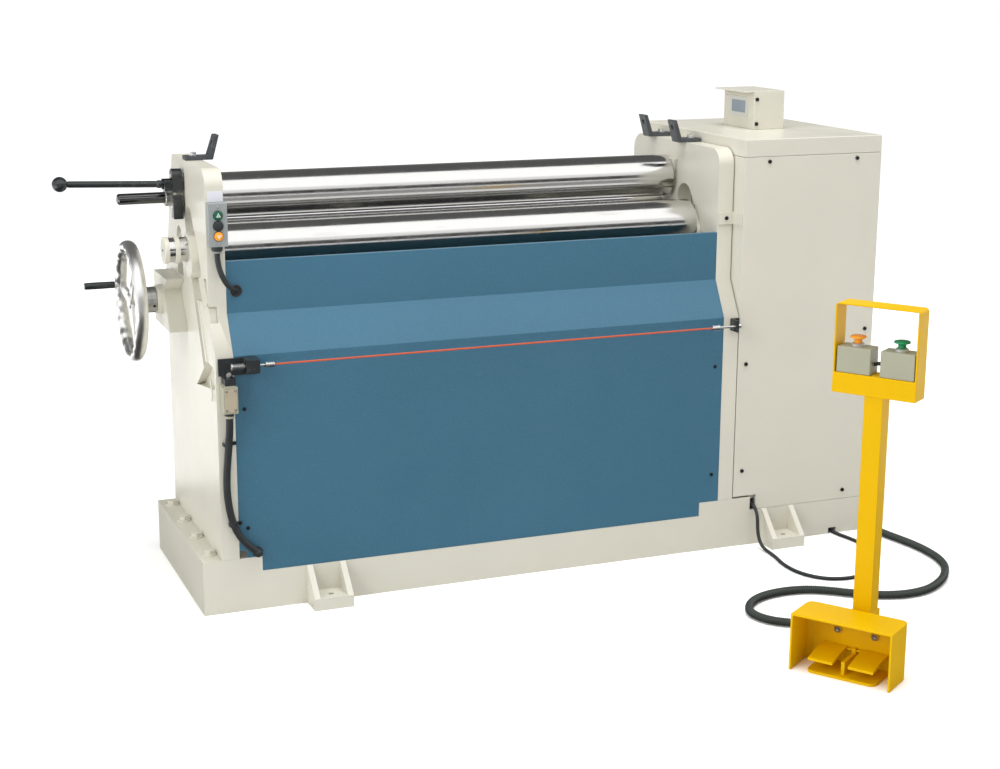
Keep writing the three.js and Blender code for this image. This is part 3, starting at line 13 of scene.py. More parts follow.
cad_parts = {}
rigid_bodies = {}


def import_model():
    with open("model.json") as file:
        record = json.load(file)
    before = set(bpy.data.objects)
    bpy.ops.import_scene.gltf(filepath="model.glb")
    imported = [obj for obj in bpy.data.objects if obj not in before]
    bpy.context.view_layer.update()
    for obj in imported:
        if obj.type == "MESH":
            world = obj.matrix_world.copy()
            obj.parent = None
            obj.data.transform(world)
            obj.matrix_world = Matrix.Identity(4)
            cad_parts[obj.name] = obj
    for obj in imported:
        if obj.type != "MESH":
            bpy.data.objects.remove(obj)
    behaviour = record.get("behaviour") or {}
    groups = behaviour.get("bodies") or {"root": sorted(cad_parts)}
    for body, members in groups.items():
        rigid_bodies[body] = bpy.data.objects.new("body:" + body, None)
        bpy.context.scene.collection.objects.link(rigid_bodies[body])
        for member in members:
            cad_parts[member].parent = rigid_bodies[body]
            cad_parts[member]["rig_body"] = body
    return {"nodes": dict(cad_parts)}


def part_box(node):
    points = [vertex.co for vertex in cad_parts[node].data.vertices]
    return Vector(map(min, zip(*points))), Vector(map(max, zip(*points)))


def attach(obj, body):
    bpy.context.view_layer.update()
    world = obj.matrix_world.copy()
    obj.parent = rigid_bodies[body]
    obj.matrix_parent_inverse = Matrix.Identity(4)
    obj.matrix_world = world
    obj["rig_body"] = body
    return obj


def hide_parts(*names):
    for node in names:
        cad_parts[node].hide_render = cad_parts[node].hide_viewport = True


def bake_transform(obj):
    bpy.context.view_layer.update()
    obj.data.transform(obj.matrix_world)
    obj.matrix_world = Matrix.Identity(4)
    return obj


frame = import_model()

LOG = logging.getLogger("rolling_machine")
Point = tuple[float, float, float]
Colour = tuple[float, float, float]
Pair = tuple[float, float]
Profile = Sequence[Pair]
Piece = bpy.types.Object
LEFT = Vector((-1, 0, 0))
RIGHT = Vector((1, 0, 0))
FRONT = Vector((0, -1, 0))
BACK = Vector((0, 1, 0))
UP = Vector((0, 0, 1))
DOWN = Vector((0, 0, -1))


class Slot(str, Enum):
    """The record's material slots."""

    CREAM = "cream_paint"
    BLUE = "blue_paint"
    ROLL = "roll_steel"
    CHROME = "chrome"
    BLACK = "black_paint"
    DARK = "dark_steel"
    SPRING = "spring_steel"
    GREY = "grey_paint"
    YELLOW = "yellow_paint"
    GREEN = "green_plastic"
    ORANGE = "orange_plastic"
    PLASTIC = "black_plastic"
    SLEEVE = "wire_sleeve"
    RUBBER = "black_rubber"


class Axis(Enum):
    """The three directions of the row frame."""

    X = (1.0, 0.0, 0.0)
    Y = (0.0, 1.0, 0.0)
    Z = (0.0, 0.0, 1.0)

    @property
    def vector(self) -> Vector:
        """The direction as a vector."""
        return Vector(self.value)


def colour(red: int, green: int, blue: int) -> Colour:
    """A screen colour as linear light.

    Args:
        red: Red from 0 to 255.
        green: Green from 0 to 255.
        blue: Blue from 0 to 255.

    Returns:
        The three linear values.
    """

    def linear(value: int) -> float:
        """One channel as linear light."""
        share = value / 255
        return share / 12.92 if share <= 0.04045 else ((share + 0.055) / 1.055) ** 2.4

    return (linear(red), linear(green), linear(blue))


def grey(level: float) -> Colour:
    """A grey of one level in all three channels."""
    return (level, level, level)


class Sock:
    """A socket of a material's node, on which sums are written as expressions."""

    def __init__(self, graph: "Graph", link: bpy.types.NodeSocket) -> None:
        self.graph = graph
        self.link = link

    def _math(self, kind: str, other: Any) -> "Sock":
        """One Math node on this value and another."""
        return self.graph.node("ShaderNodeMath", {"operation": kind}, {0: self, 1: other})

    def __add__(self, other: Any) -> "Sock":
        return self._math("ADD", other)

    __radd__ = __add__

    def __mul__(self, other: Any) -> "Sock":
        return self._math("MULTIPLY", other)

    __rmul__ = __mul__

    def above(self, level: float) -> "Sock":
        """1 where the value is over a level, else 0."""
        return self._math("GREATER_THAN", level)

    def held(self) -> "Sock":
        """The value kept from 0 to 1."""
        return self.graph.node("ShaderNodeClamp", {}, {"Value": self})

    def spread(self, low: float, high: float, start: float = 0.0, end: float = 1.0) -> "Sock":
        """The value taken from one range to another.

        Args:
            low: The value that becomes start.
            high: The value that becomes end.
            start: The new value at low.
            end: The new value at high.

        Returns:
            The new value, kept inside its range.
        """
        inputs = {"Value": self, "From Min": low, "From Max": high, "To Min": start, "To Max": end}
        return self.graph.node("ShaderNodeMapRange", {"clamp": True}, inputs)


class Graph:
    """The node tree of one material or of the world."""

    def __init__(self, tree: bpy.types.NodeTree) -> None:
        self.tree = tree
        self.tree.nodes.clear()

    def raw(self, kind: str, settings: dict[str, Any], inputs: dict[Any, Any]) -> bpy.types.Node:
        """Adds a node, with its settings first and then its sockets.

        Args:
            kind: The node's type.
            settings: Values of the node's own properties.
            inputs: A value or a Sock for each named or numbered input.

        Returns:
            The node.
        """
        node = self.tree.nodes.new(kind)
        for key, value in settings.items():
            if key == "stops":
                self._stops(node, value)
            else:
                setattr(node, key, value)
        for key, value in inputs.items():
            socket = node.inputs[key]
            if isinstance(value, Sock):
                self.tree.links.new(value.link, socket)
            else:
                socket.default_value = value
        return node

    def node(self, kind: str, settings: dict[str, Any], inputs: dict[Any, Any], output: Any = 0) -> Sock:
        """Adds a node and gives one of its outputs."""
        return Sock(self, self.raw(kind, settings, inputs).outputs[output])

    @staticmethod
    def _stops(node: bpy.types.Node, stops: Sequence[Pair]) -> None:
        """Sets a ramp's grey stops as pairs of place and level."""
        ramp = node.color_ramp
        while len(ramp.elements) < len(stops):
            ramp.elements.new(0.5)
        for element, (place, level) in zip(ramp.elements, stops):
            element.position = place
            element.color = (level, level, level, 1.0)

    def place(self, stretch: Point = (1.0, 1.0, 1.0)) -> Sock:
        """Object coordinates, stretched along the three axes."""
        here = self.node("ShaderNodeTexCoord", {}, {}, "Object")
        return self.node("ShaderNodeMapping", {}, {"Vector": here, "Scale": stretch})

    def noise(self, scale: float, detail: float = 3.0, stretch: Point = (1.0, 1.0, 1.0)) -> Sock:
        """A grey noise in Object coordinates."""
        inputs = {"Vector": self.place(stretch), "Scale": scale, "Detail": detail}
        return self.node("ShaderNodeTexNoise", {}, inputs, 0)

    def cells(self, scale: float) -> Sock:
        """The distance to the middle of the nearest cell."""
        inputs = {"Vector": self.place(), "Scale": scale}
        return self.node("ShaderNodeTexVoronoi", {}, inputs, "Distance")

    def height(self) -> Sock:
        """The height above the floor."""
        return self.node("ShaderNodeSeparateXYZ", {}, {0: self.place()}, "Z")

    def blend(self, share: Any, first: Any, second: Any) -> Sock:
        """A mix of two colours."""
        inputs = {0: share, 6: self._full(first), 7: self._full(second)}
        return self.node("ShaderNodeMix", {"data_type": "RGBA"}, inputs, 2)

    @staticmethod
    def _full(value: Any) -> Any:
        """A colour with its alpha, or the Sock as it is."""
        return value if isinstance(value, Sock) else (*value, 1.0)

    def bump(self, height: Sock, depth: float) -> Sock:
        """A bump of a height from 0 to 1 times a depth in metres."""
        return self.node("ShaderNodeBump", {}, {"Height": height, "Distance": depth})


@dataclass(frozen=True)
class Finish:
    """What a surface is made of, with the sockets that stay the same all over it."""

    name: str
    tint: Colour
    metallic: float = 0.0
    roughness: float = 0.5
    coat: float = 0.0
    coat_roughness: float = 0.1
    specular: float = 0.5

    def paint(self, graph: Graph) -> dict[str, Any]:
        """The inputs of the shader that vary over the surface.

        Args:
            graph: The material's node tree.

        Returns:
            A value or Sock for each named input.
        """
        raise NotImplementedError

    def shaded(self, factor: float, lift: float = 0.0) -> Colour:
        """The finish's own colour made lighter or darker.

        Args:
            factor: What each channel is multiplied by.
            lift: What is added to it after that.

        Returns:
            The new colour, no channel over 1.
        """
        return tuple(min(1.0, value * factor + lift) for value in self.tint)

    def material(self) -> bpy.types.Material:
        """The finish as a material, made once."""
        found = bpy.data.materials.get(self.name)
        if found is not None:
            return found
        made = bpy.data.materials.new(self.name)
        made.use_nodes = True
        graph = Graph(made.node_tree)
        inputs: dict[str, Any] = {
            "Base Color": (*self.tint, 1.0),
            "Metallic": self.metallic,
            "Roughness": self.roughness,
            "Coat Weight": self.coat,
            "Coat Roughness": self.coat_roughness,
            "Specular IOR Level": self.specular,
        }
        inputs.update(self.paint(graph))
        shader = graph.node("ShaderNodeBsdfPrincipled", {}, inputs)
        graph.raw("ShaderNodeOutputMaterial", {}, {"Surface": shader})
        made.diffuse_color = (*self.tint, 1.0)
        return made


@dataclass(frozen=True)
class Enamel(Finish):
    """Sprayed machine enamel with a fine orange peel, slow mottling and dust near the floor."""

    peel: float = 0.00012
    grain: float = 420.0
    mottling: float = 0.06
    dust: float = 0.10
    dust_top: float = 0.18
    dust_tint: Colour = (0.33, 0.31, 0.27)

    def paint(self, graph: Graph) -> dict[str, Any]:
        """Mottled colour, uneven gloss and the peel as a bump."""
        slow = graph.noise(5.0, 3.0)
        dark = self.shaded(1 - 2 * self.mottling)
        mottled = graph.blend(slow.spread(0.3, 0.7), dark, self.tint)
        near_floor = graph.height().spread(0.0, self.dust_top, self.dust, 0.0)
        patches = graph.noise(38.0, 4.0).spread(0.3, 0.7)
        dusty = graph.blend(near_floor * patches, mottled, self.dust_tint)
        specks = graph.noise(900.0, 1.0).above(0.74) * 0.2
        gloss = graph.noise(11.0, 4.0).spread(0.3, 0.75, self.roughness - 0.05, self.roughness + 0.09)
        return {
            "Base Color": graph.blend(specks, dusty, self.shaded(0.6)),
            "Roughness": gloss,
            "Normal": graph.bump(graph.noise(self.grain, 2.0), self.peel),
        }


@dataclass(frozen=True)
class HammeredPaint(Finish):
    """Blue hammered paint with small dimples, a painted glint lightening the middle of each."""

    dimple: float = 260.0
    depth: float = 0.0005

    def paint(self, graph: Graph) -> dict[str, Any]:
        """Dimples from noise and cells, a slightly uneven blue and painted glints in the dimples."""
        fine = graph.noise(self.dimple, 3.0)
        cells = graph.cells(self.dimple * 0.8)
        relief = fine * 0.6 + cells * 0.5
        cloudy = graph.noise(2.2, 2.0).spread(0.25, 0.75)
        body = graph.blend(cloudy, self.shaded(0.95), self.shaded(1.04))
        # Painted highlights: a lighter blue at the middle of each dimple stands in for the glints of light
        # on it.
        painted_glints = cells.spread(0.0, 0.35, 0.36, 0.0)
        scuff = graph.noise(70.0, 5.0, (0.3, 1.0, 1.0)).spread(0.66, 0.8, 0.0, 0.25)
        # The blue with its painted glints mixed in.
        bright = graph.blend(painted_glints, body, self.shaded(1.5, 0.03))
        uneven = graph.noise(24.0, 3.0)
        return {
            "Base Color": graph.blend(scuff, bright, self.shaded(1.3)),
            "Roughness": uneven.spread(0.3, 0.7, self.roughness - 0.06, self.roughness + 0.08),
            "Normal": graph.bump(relief, self.depth),
        }


@dataclass(frozen=True)
class GroundSteel(Finish):
    """Ground steel with fine rings round the X axis and a few long marks."""

    rings: float = 900.0
    depth: float = 0.00002
    stain: Colour = (0.36, 0.33, 0.29)
    stained: float = 0.25

    def paint(self, graph: Graph) -> dict[str, Any]:
        """Grinding rings in gloss and bump, and faint stains."""
        rings = graph.noise(self.rings, 2.0, (1.0, 0.02, 0.02))
        bands = graph.noise(26.0, 3.0, (1.0, 0.1, 0.1))
        marks = graph.noise(55.0, 5.0, (0.12, 1.0, 1.0)).spread(0.62, 0.8, 0.0, self.stained)
        return {
            "Base Color": graph.blend(marks, self.tint, self.stain),
            "Roughness": bands.spread(0.3, 0.7, self.roughness, self.roughness + 0.07) + rings * 0.05,
            "Normal": graph.bump(rings, self.depth),
        }


@dataclass(frozen=True)
class Polished(Finish):
    """Bright or dark plating with wiped smudges and light scratches."""

    smudge: float = 0.14
    waviness: float = 0.00025

    def paint(self, graph: Graph) -> dict[str, Any]:
        """Smudges in gloss over a slow waviness."""
        wiped = graph.noise(32.0, 5.0, (1.0, 2.5, 1.0)).spread(0.45, 0.8, 0.0, self.smudge)
        scratch = graph.noise(420.0, 1.0, (0.1, 1.0, 1.0)).above(0.72) * 0.08
        return {
            "Base Color": graph.blend(wiped.spread(0.0, 0.2), self.tint, self.shaded(0.82)),
            "Roughness": wiped + scratch + self.roughness,
            "Normal": graph.bump(graph.noise(26.0, 2.0), self.waviness),
        }


@dataclass(frozen=True)
class BlackedSteel(Finish):
    """Black paint or black oxide, worn to grey in small rubbed patches."""

    rubbed: Colour = (0.16, 0.16, 0.155)
    wear: float = 0.35
    grain: float = 700.0

    def paint(self, graph: Graph) -> dict[str, Any]:
        """Rubbed patches and a fine grain."""
        worn = graph.noise(60.0, 6.0).spread(0.56, 0.72, 0.0, self.wear)
        fine = graph.noise(self.grain, 2.0)
        return {
            "Base Color": graph.blend(worn, self.tint, self.rubbed),
            "Roughness": fine.spread(0.3, 0.7, self.roughness - 0.06, self.roughness + 0.1),
            "Normal": graph.bump(fine, 0.0001),
        }


@dataclass(frozen=True)
class Moulded(Finish):
    """Moulded plastic or rubber with a fine spark texture."""

    grain: float = 1300.0
    depth: float = 0.00008

    def paint(self, graph: Graph) -> dict[str, Any]:
        """Spark grain with a little dust in it."""
        fine = graph.noise(self.grain, 2.0)
        dust = graph.noise(45.0, 4.0).spread(0.5, 0.8, 0.0, 0.12)
        return {
            "Base Color": graph.blend(dust, self.tint, self.shaded(0.8, 0.05)),
            "Roughness": fine.spread(0.3, 0.7, self.roughness - 0.05, self.roughness + 0.08),
            "Normal": graph.bump(fine, self.depth),
        }


@dataclass(frozen=True)
class Screen(Finish):
    """A blank liquid crystal window with its faint cell grid."""

    pitch: float = 700.0

    def paint(self, graph: Graph) -> dict[str, Any]:
        """A faint grid of cells under a glossy window."""
        inputs = {"Vector": graph.place(), "Scale": self.pitch}
        grid = graph.node("ShaderNodeTexChecker", {}, inputs, "Fac")
        cloudy = graph.noise(30.0, 3.0).spread(0.3, 0.7)
        cells = grid * 0.3 + cloudy * 0.4
        return {
            "Base Color": graph.blend(cells, self.shaded(0.92), self.shaded(1.15)),
            "Roughness": graph.noise(50.0, 3.0).spread(0.3, 0.7, self.roughness, self.roughness + 0.08),
        }


CREAM = Enamel(
    "cream_enamel", colour(215, 212, 198), roughness=0.36, mottling=0.015, dust=0.02, coat=0.2,
    coat_roughness=0.2,
)
BLUE = HammeredPaint(
    "blue_hammered_paint", colour(61, 108, 132), roughness=0.36, specular=0.36, coat=0.12,
    coat_roughness=0.25,
)
YELLOW = Enamel(
    "yellow_enamel", colour(230, 182, 2), roughness=0.4, mottling=0.02, dust=0.0, specular=0.12
)
GREY = Enamel(
    "grey_hammered_enamel", colour(150, 156, 156), roughness=0.42, grain=620.0, peel=0.0002, dust=0.0
)
GREEN_GREY = Enamel("green_grey_enamel", colour(170, 170, 148), roughness=0.42, dust=0.0)
ROLL_STEEL = GroundSteel("ground_roll_steel", (0.72, 0.715, 0.70), metallic=1.0, roughness=0.10)
ROLL_END = GroundSteel("turned_end_steel", (0.56, 0.56, 0.55), metallic=1.0, roughness=0.26)
CHROME = Polished(
    "chrome_plate", (0.90, 0.90, 0.88), metallic=1.0, roughness=0.34, smudge=0.05, waviness=0.00003
)
DARK_CHROME = Polished("dark_polished_rod", (0.16, 0.16, 0.165), metallic=1.0, roughness=0.12)
ZINC = Polished("zinc_plated_steel", (0.80, 0.80, 0.78), metallic=1.0, roughness=0.28)
BLACK = BlackedSteel("black_gloss_paint", colour(34, 38, 40), roughness=0.25, coat=0.3, wear=0.25)
BLACKED = BlackedSteel("blacked_steel", colour(48, 52, 54), metallic=0.3, roughness=0.42)
STOP_IRON = BlackedSteel("stop_iron", colour(74, 77, 80), metallic=0.2, roughness=0.5, wear=0.5)
DARK_HEAD = BlackedSteel("blacked_screw_head", colour(52, 54, 54), metallic=0.6, roughness=0.38)
SPRING = GroundSteel("spring_wire", (0.70, 0.70, 0.68), metallic=1.0, roughness=0.24)
GREEN = Moulded("green_button_plastic", colour(16, 92, 68), roughness=0.34)
BRIGHT_GREEN = Moulded("bright_green_cap", colour(20, 142, 84), roughness=0.32)
ORANGE = Moulded("orange_button_plastic", colour(246, 160, 36), roughness=0.34)
PLASTIC = Moulded("black_button_plastic", colour(44, 50, 52), roughness=0.42)
WHITE = Moulded("white_mark_plastic", colour(232, 233, 228), roughness=0.45)
LABEL = Moulded("blank_label", colour(222, 223, 232), roughness=0.38, grain=300.0, depth=0.00002)
RUBBER = Moulded("black_conduit_rubber", colour(44, 47, 48), roughness=0.46)
HOSE_RUBBER = Moulded("dark_hose_polymer", colour(52, 58, 54), roughness=0.4)
SWITCH_PLATE = Enamel("pale_switch_plate", colour(182, 170, 146), roughness=0.4, dust=0.03)
PALM_RING = Enamel("pale_ring_plating", colour(196, 198, 192), metallic=0.5, roughness=0.3, dust=0.0)
SLEEVE = Moulded("orange_wire_sleeve", colour(198, 84, 48), roughness=0.4, coat=0.2)
SCREEN = Screen("blank_display", colour(150, 160, 172), roughness=0.14)
SCREEN_FRAME = Moulded("display_frame", colour(206, 207, 200), roughness=0.4)


class Bench:
    """The modelling operators that all pieces are made with."""

    WELD = 0.00001

    @staticmethod
    def clear() -> None:
        """Leaves edit mode and deselects everything."""
        if bpy.context.mode != "OBJECT":
            bpy.ops.object.mode_set(mode="OBJECT")
        bpy.ops.object.select_all(action="DESELECT")

    @classmethod
    def only(cls, piece: Piece) -> Piece:
        """Selects one piece and makes it active."""
        cls.clear()
        piece.select_set(True)
        bpy.context.view_layer.objects.active = piece
        return piece

    @classmethod
    def named(cls, name: str) -> Piece:
        """Names the active object, with its place and size applied to its mesh."""
        piece = bpy.context.object
        piece.name = name
        piece.data.name = name
        bpy.ops.object.transform_apply(location=True, rotation=True, scale=True)
        return piece

    @classmethod
    def block(cls, name: str, low: Point, high: Point, bevel: float) -> Piece:
        """A block between two corners with rounded edges.

        Args:
            name: The piece's name.
            low: Its lowest corner.
            high: Its highest corner.
            bevel: The width of its edge rounding.

        Returns:
            The piece.
        """
        cls.clear()
        first, last = Vector(low), Vector(high)
        bpy.ops.mesh.primitive_cube_add(size=1, location=(first + last) / 2, scale=last - first)
        return cls.rounded(cls.named(name), bevel)

    @classmethod
    def _start(cls, name: str, at: Vector) -> Piece:
        """A loose point in edit mode, ready to be drawn out."""
        cls.clear()
        bpy.ops.mesh.primitive_plane_add(size=0.01, location=(0, 0, 0))
        piece = cls.named(name)
        bpy.ops.object.mode_set(mode="EDIT")
        bpy.ops.mesh.select_all(action="SELECT")
        bpy.ops.mesh.merge(type="CENTER")
        bpy.ops.transform.translate(value=at)
        return piece

    @classmethod
    def _draw(cls, points: Sequence[Vector]) -> None:
        """Draws the selected point out along a line of places."""
        for here, there in zip(points, points[1:]):
            bpy.ops.mesh.extrude_vertices_move(TRANSFORM_OT_translate={"value": there - here})

    @classmethod
    def turned(
        cls, name: str, profile: Profile, start: Point, axis: Vector, steps: int, angle: float = 0.0
    ) -> Piece:
        """A turned piece from its half section.

        Args:
            name: The piece's name.
            profile: Pairs of distance along the axis and radius, from end to end.
            start: The point that distances start from.
            axis: The direction of the axis.
            steps: The number of faces round it.
            angle: The angle up to which it is shaded smooth, or 0 to leave it as it is.

        Returns:
            The piece.
        """
        along = axis.normalized()
        across = along.orthogonal().normalized()
        origin = Vector(start)
        points = [origin + along * distance + across * radius for distance, radius in profile]
        piece = cls._start(name, points[0])
        cls._draw(points)
        bpy.ops.mesh.select_all(action="SELECT")
        bpy.ops.mesh.spin(steps=steps, angle=math.tau, center=origin, axis=along)
        cls._close()
        return cls.smooth(piece, angle) if angle else piece

    @classmethod
    def _close(cls) -> None:
        """Merges doubles, turns faces outwards and leaves edit mode."""
        bpy.ops.mesh.select_all(action="SELECT")
        bpy.ops.mesh.remove_doubles(threshold=cls.WELD)
        bpy.ops.mesh.normals_make_consistent(inside=False)
        bpy.ops.object.mode_set(mode="OBJECT")

    @classmethod
    def prism(cls, name: str, outline: Sequence[Vector], depth: Vector, bevel: float = 0.0) -> Piece:
        """A flat outline drawn out to a solid with rounded edges.

        Args:
            name: The piece's name.
            outline: The outline's corners in order.
            depth: The way and distance it is drawn out.
            bevel: The width of its edge rounding, or 0 for sharp edges.

        Returns:
            The piece.
        """
        points = [Vector(point) for point in outline]
        piece = cls._start(name, points[0])
        cls._draw(points)
        bpy.ops.mesh.select_all(action="SELECT")
        bpy.ops.mesh.edge_face_add()
        bpy.ops.mesh.extrude_region_move(TRANSFORM_OT_translate={"value": depth})
        cls._close()
        return cls.rounded(piece, bevel) if bevel else piece

    @classmethod
    def rounded(cls, piece: Piece, width: float, steps: int = 2, angle: float = 30.0) -> Piece:
        """Rounds a piece's sharp edges and keeps its flats flat.

        Args:
            piece: The piece.
            width: The width of the rounding.
            steps: The number of faces across it.
            angle: The least angle of an edge that is rounded, in degrees.

        Returns:
            The piece.
        """
        bevel = piece.modifiers.new("edges", "BEVEL")
        bevel.width = width
        bevel.segments = steps
        bevel.limit_method = "ANGLE"
        bevel.angle_limit = math.radians(angle)
        bevel.miter_outer = "MITER_ARC"
        cls.apply(piece)
        return cls.smooth(piece)

    @classmethod
    def smooth(cls, piece: Piece, angle: float = 42.0) -> Piece:
        """Shades a piece smooth up to an angle, its large faces flat."""
        cls.only(piece)
        bpy.ops.object.shade_smooth_by_angle(angle=math.radians(angle))
        weighted = piece.modifiers.new("flats", "WEIGHTED_NORMAL")
        weighted.keep_sharp = True
        cls.apply(piece)
        return piece

    @classmethod
    def apply(cls, piece: Piece) -> None:
        """Applies all modifiers of a piece."""
        cls.only(piece)
        for modifier in list(piece.modifiers):
            bpy.ops.object.modifier_apply(modifier=modifier.name)

    @classmethod
    def carve(cls, piece: Piece, tools: Sequence[Piece], kind: str = "DIFFERENCE") -> Piece:
        """Cuts tools out of a piece, or joins them to it, and removes them.

        Args:
            piece: The piece.
            tools: The solids to work with.
            kind: DIFFERENCE or UNION.

        Returns:
            The piece.
        """
        for tool in tools:
            boolean = piece.modifiers.new("work", "BOOLEAN")
            boolean.operation = kind
            boolean.object = tool
            boolean.solver = "EXACT"
        cls.apply(piece)
        for tool in tools:
            bpy.data.objects.remove(tool, do_unlink=True)
        return piece

    @classmethod
    def joined(cls, name: str, parts: Sequence[Piece]) -> Piece:
        """Several meshes as one piece."""
        cls.clear()
        for part in parts:
            part.select_set(True)
        bpy.context.view_layer.objects.active = parts[0]
        bpy.ops.object.join()
        parts[0].name = name
        parts[0].data.name = name
        return parts[0]

    @classmethod
    def copied(cls, piece: Piece, name: str, matrix: Matrix) -> Piece:
        """A copy of a piece at another place, with a mesh of its own."""
        twin = piece.copy()
        twin.data = piece.data.copy()
        twin.name = name
        twin.data.name = name
        bpy.context.scene.collection.objects.link(twin)
        twin.data.transform(matrix)
        return twin

    @classmethod
    def dressed(cls, node: str, bevel: float, steps: int = 2, angle: float = 30.0) -> Piece:
        """A copy of a CAD node with its flats merged and its edges rounded.

        Args:
            node: The CAD node.
            bevel: The width of the rounding.
            steps: The number of faces across it.
            angle: The least angle of a rounded edge, in degrees.

        Returns:
            The piece.
        """
        source = frame["nodes"][node]
        piece = bpy.data.objects.new(f"{node}_dressed", source.data.copy())
        piece.data.materials.clear()
        bpy.context.scene.collection.objects.link(piece)
        cls.only(piece)
        bpy.ops.object.mode_set(mode="EDIT")
        bpy.ops.mesh.select_all(action="SELECT")
        bpy.ops.mesh.remove_doubles(threshold=cls.WELD)
        bpy.ops.mesh.dissolve_limited(angle_limit=math.radians(0.5), use_dissolve_boundaries=False)
        bpy.ops.object.mode_set(mode="OBJECT")
        return cls.rounded(piece, bevel, steps, angle)

    @classmethod
    def refinished(
        cls, node: str, bevel: float, slot: Slot, finish: Finish, steps: int = 2, angle: float = 30.0
    ) -> Piece:
        """A dressed copy of a CAD node, mounted in its stead on the node's own body.

        Args:
            node: The CAD node.
            bevel: The width of the rounding.
            slot: The record's material slot.
            finish: Its finish.
            steps: The number of faces across a rounding.
            angle: The least angle of a rounded edge, in degrees.

        Returns:
            The piece.
        """
        piece = cls.dressed(node, bevel, steps, angle)
        return cls.mount(piece, body_of(node), slot, finish, [node])

    @classmethod
    def tube(cls, name: str, points: Sequence[Vector], radius: float, roundness: int) -> Piece:
        """A plain round cord as a curve of one open spline.

        Args:
            name: The piece's name.
            points: Its middle line.
            radius: Its radius.
            roundness: How finely its section is divided.

        Returns:
            The piece, still a curve.
        """
        curve = bpy.data.curves.new(name, "CURVE")
        curve.dimensions = "3D"
        spline = curve.splines.new("POLY")
        spline.points.add(len(points) - 1)
        for spot, point in zip(spline.points, points):
            spot.co = (*point, 1.0)
        spline.use_smooth = True
        curve.bevel_depth = radius
        curve.bevel_resolution = roundness
        curve.use_fill_caps = True
        piece = bpy.data.objects.new(name, curve)
        bpy.context.scene.collection.objects.link(piece)
        return piece

    @classmethod
    def mount(
        cls, piece: Piece, body: str, slot: Slot, finish: Finish, nodes: Sequence[str] = ()
    ) -> Piece:
        """Gives a piece its material and body, and hides the CAD nodes that it stands for.

        Args:
            piece: The piece.
            body: The CAD body that it moves with.
            slot: The record's material slot, which is not used.
            finish: Its finish.
            nodes: The CAD nodes that it replaces.

        Returns:
            The piece.
        """
        piece.data.materials.clear()
        piece.data.materials.append(finish.material())
        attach(piece, body)
        if nodes:
            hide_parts(*nodes)
        LOG.info("%s rides on %s in %s", piece.name, body, finish.name)
        return piece


def body_of(node: str) -> str:
    """The body that a CAD node moves with."""
    return frame["nodes"][node]["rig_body"]


@dataclass(frozen=True)
class Seat:
    """The middle of a fastener's seat, the way its head faces and the body that it moves with."""

    place: Point
    facing: Vector
    body: str = "machine"


@dataclass(frozen=True)
class Fastener:
    """A screw or bolt, modelled once lying along +X and copied to each seat."""

    name: str
    finish: Finish
    slot: Slot
    radius: float
    height: float
    hexagon: bool = False
    sunk: float = 0.0002
    shoulder_share: float = 0.86
    socket_share: float = 0.45
    socket_taper_share: float = 0.96

    def _pattern(self) -> Piece:
        """One fastener at the origin, its head standing along +X."""
        sides = 6 if self.hexagon else 24
        rim = self.radius * (0.94 if self.hexagon else 0.88)
        profile = [
            (-self.sunk, 0.0), (-self.sunk, self.radius),
            (self.height * self.shoulder_share, self.radius), (self.height, rim),
        ]
        if self.hexagon:
            profile += [(self.height, 0.0)]
        else:
            socket = self.radius * self.socket_share
            floor = self.height - self.height * self.socket_share
            profile += [(self.height, socket), (floor, socket * self.socket_taper_share), (floor, 0.0)]
        return Bench.turned(f"{self.name}_pattern", profile, (0, 0, 0), Axis.X.vector, sides, 30)

    def fit(self, seats: Sequence[Seat]) -> None:
        """Puts one fastener on each seat.

        Args:
            seats: The seats, in the order that the fasteners are numbered in.
        """
        pattern = self._pattern()
        for number, seat in enumerate(seats, 1):
            turn = seat.facing.to_track_quat("X", "Z").to_matrix().to_4x4()
            matrix = Matrix.Translation(seat.place) @ turn
            piece = Bench.copied(pattern, f"{self.name}_{number:02d}", matrix)
            Bench.mount(piece, seat.body, self.slot, self.finish)
        bpy.data.objects.remove(pattern, do_unlink=True)


@dataclass
class Route:
    """The middle line of a cord, a centripetal Catmull-Rom curve through its points in metres."""

    points: Sequence[Point]

    def _span(self, index: int) -> tuple[Vector, Vector, Vector, Vector]:
        """The four points that shape one span, the ends drawn on."""
        line = [Vector(point) for point in self.points]
        before = line[index - 1] if index > 0 else 2 * line[0] - line[1]
        after = line[index + 2] if index + 2 < len(line) else 2 * line[-1] - line[-2]
        return before, line[index], line[index + 1], after

    def sampled(self, per_span: int) -> list[Vector]:
        """Points along the curve.

        Args:
            per_span: The number of steps between two of its points.

        Returns:
            The points, from end to end.
        """
        found: list[Vector] = []
        for index in range(len(self.points) - 1):
            before, start, end, after = self._span(index)
            gaps = [(b - a).length ** 0.5 for a, b in ((before, start), (start, end), (end, after))]
            first, middle, last = gaps
            along = (end - start) / middle
            leave = ((start - before) / first - (end - before) / (first + middle) + along) * middle
            arrive = (along - (after - start) / (middle + last) + (after - end) / last) * middle
            for step in range(per_span):
                t = step / per_span
                found.append(
                    start * (2 * t**3 - 3 * t**2 + 1) + end * (3 * t**2 - 2 * t**3)
                    + leave * (t**3 - 2 * t**2 + t) + arrive * (t**3 - t**2)
                )
        found.append(Vector(self.points[-1]))
        return found

    def spaced(self, step: float) -> list[Vector]:
        """Points an even distance apart along the curve."""
        fine = self.sampled(40)
        total = sum((b - a).length for a, b in zip(fine, fine[1:]))
        count = max(2, round(total / step))
        found, walked, target = [fine[0]], 0.0, total / count
        for here, there in zip(fine, fine[1:]):
            gap = (there - here).length
            while walked + gap >= target * len(found) and len(found) < count:
                found.append(here.lerp(there, (target * len(found) - walked) / gap))
            walked += gap
        return found + [fine[-1]]


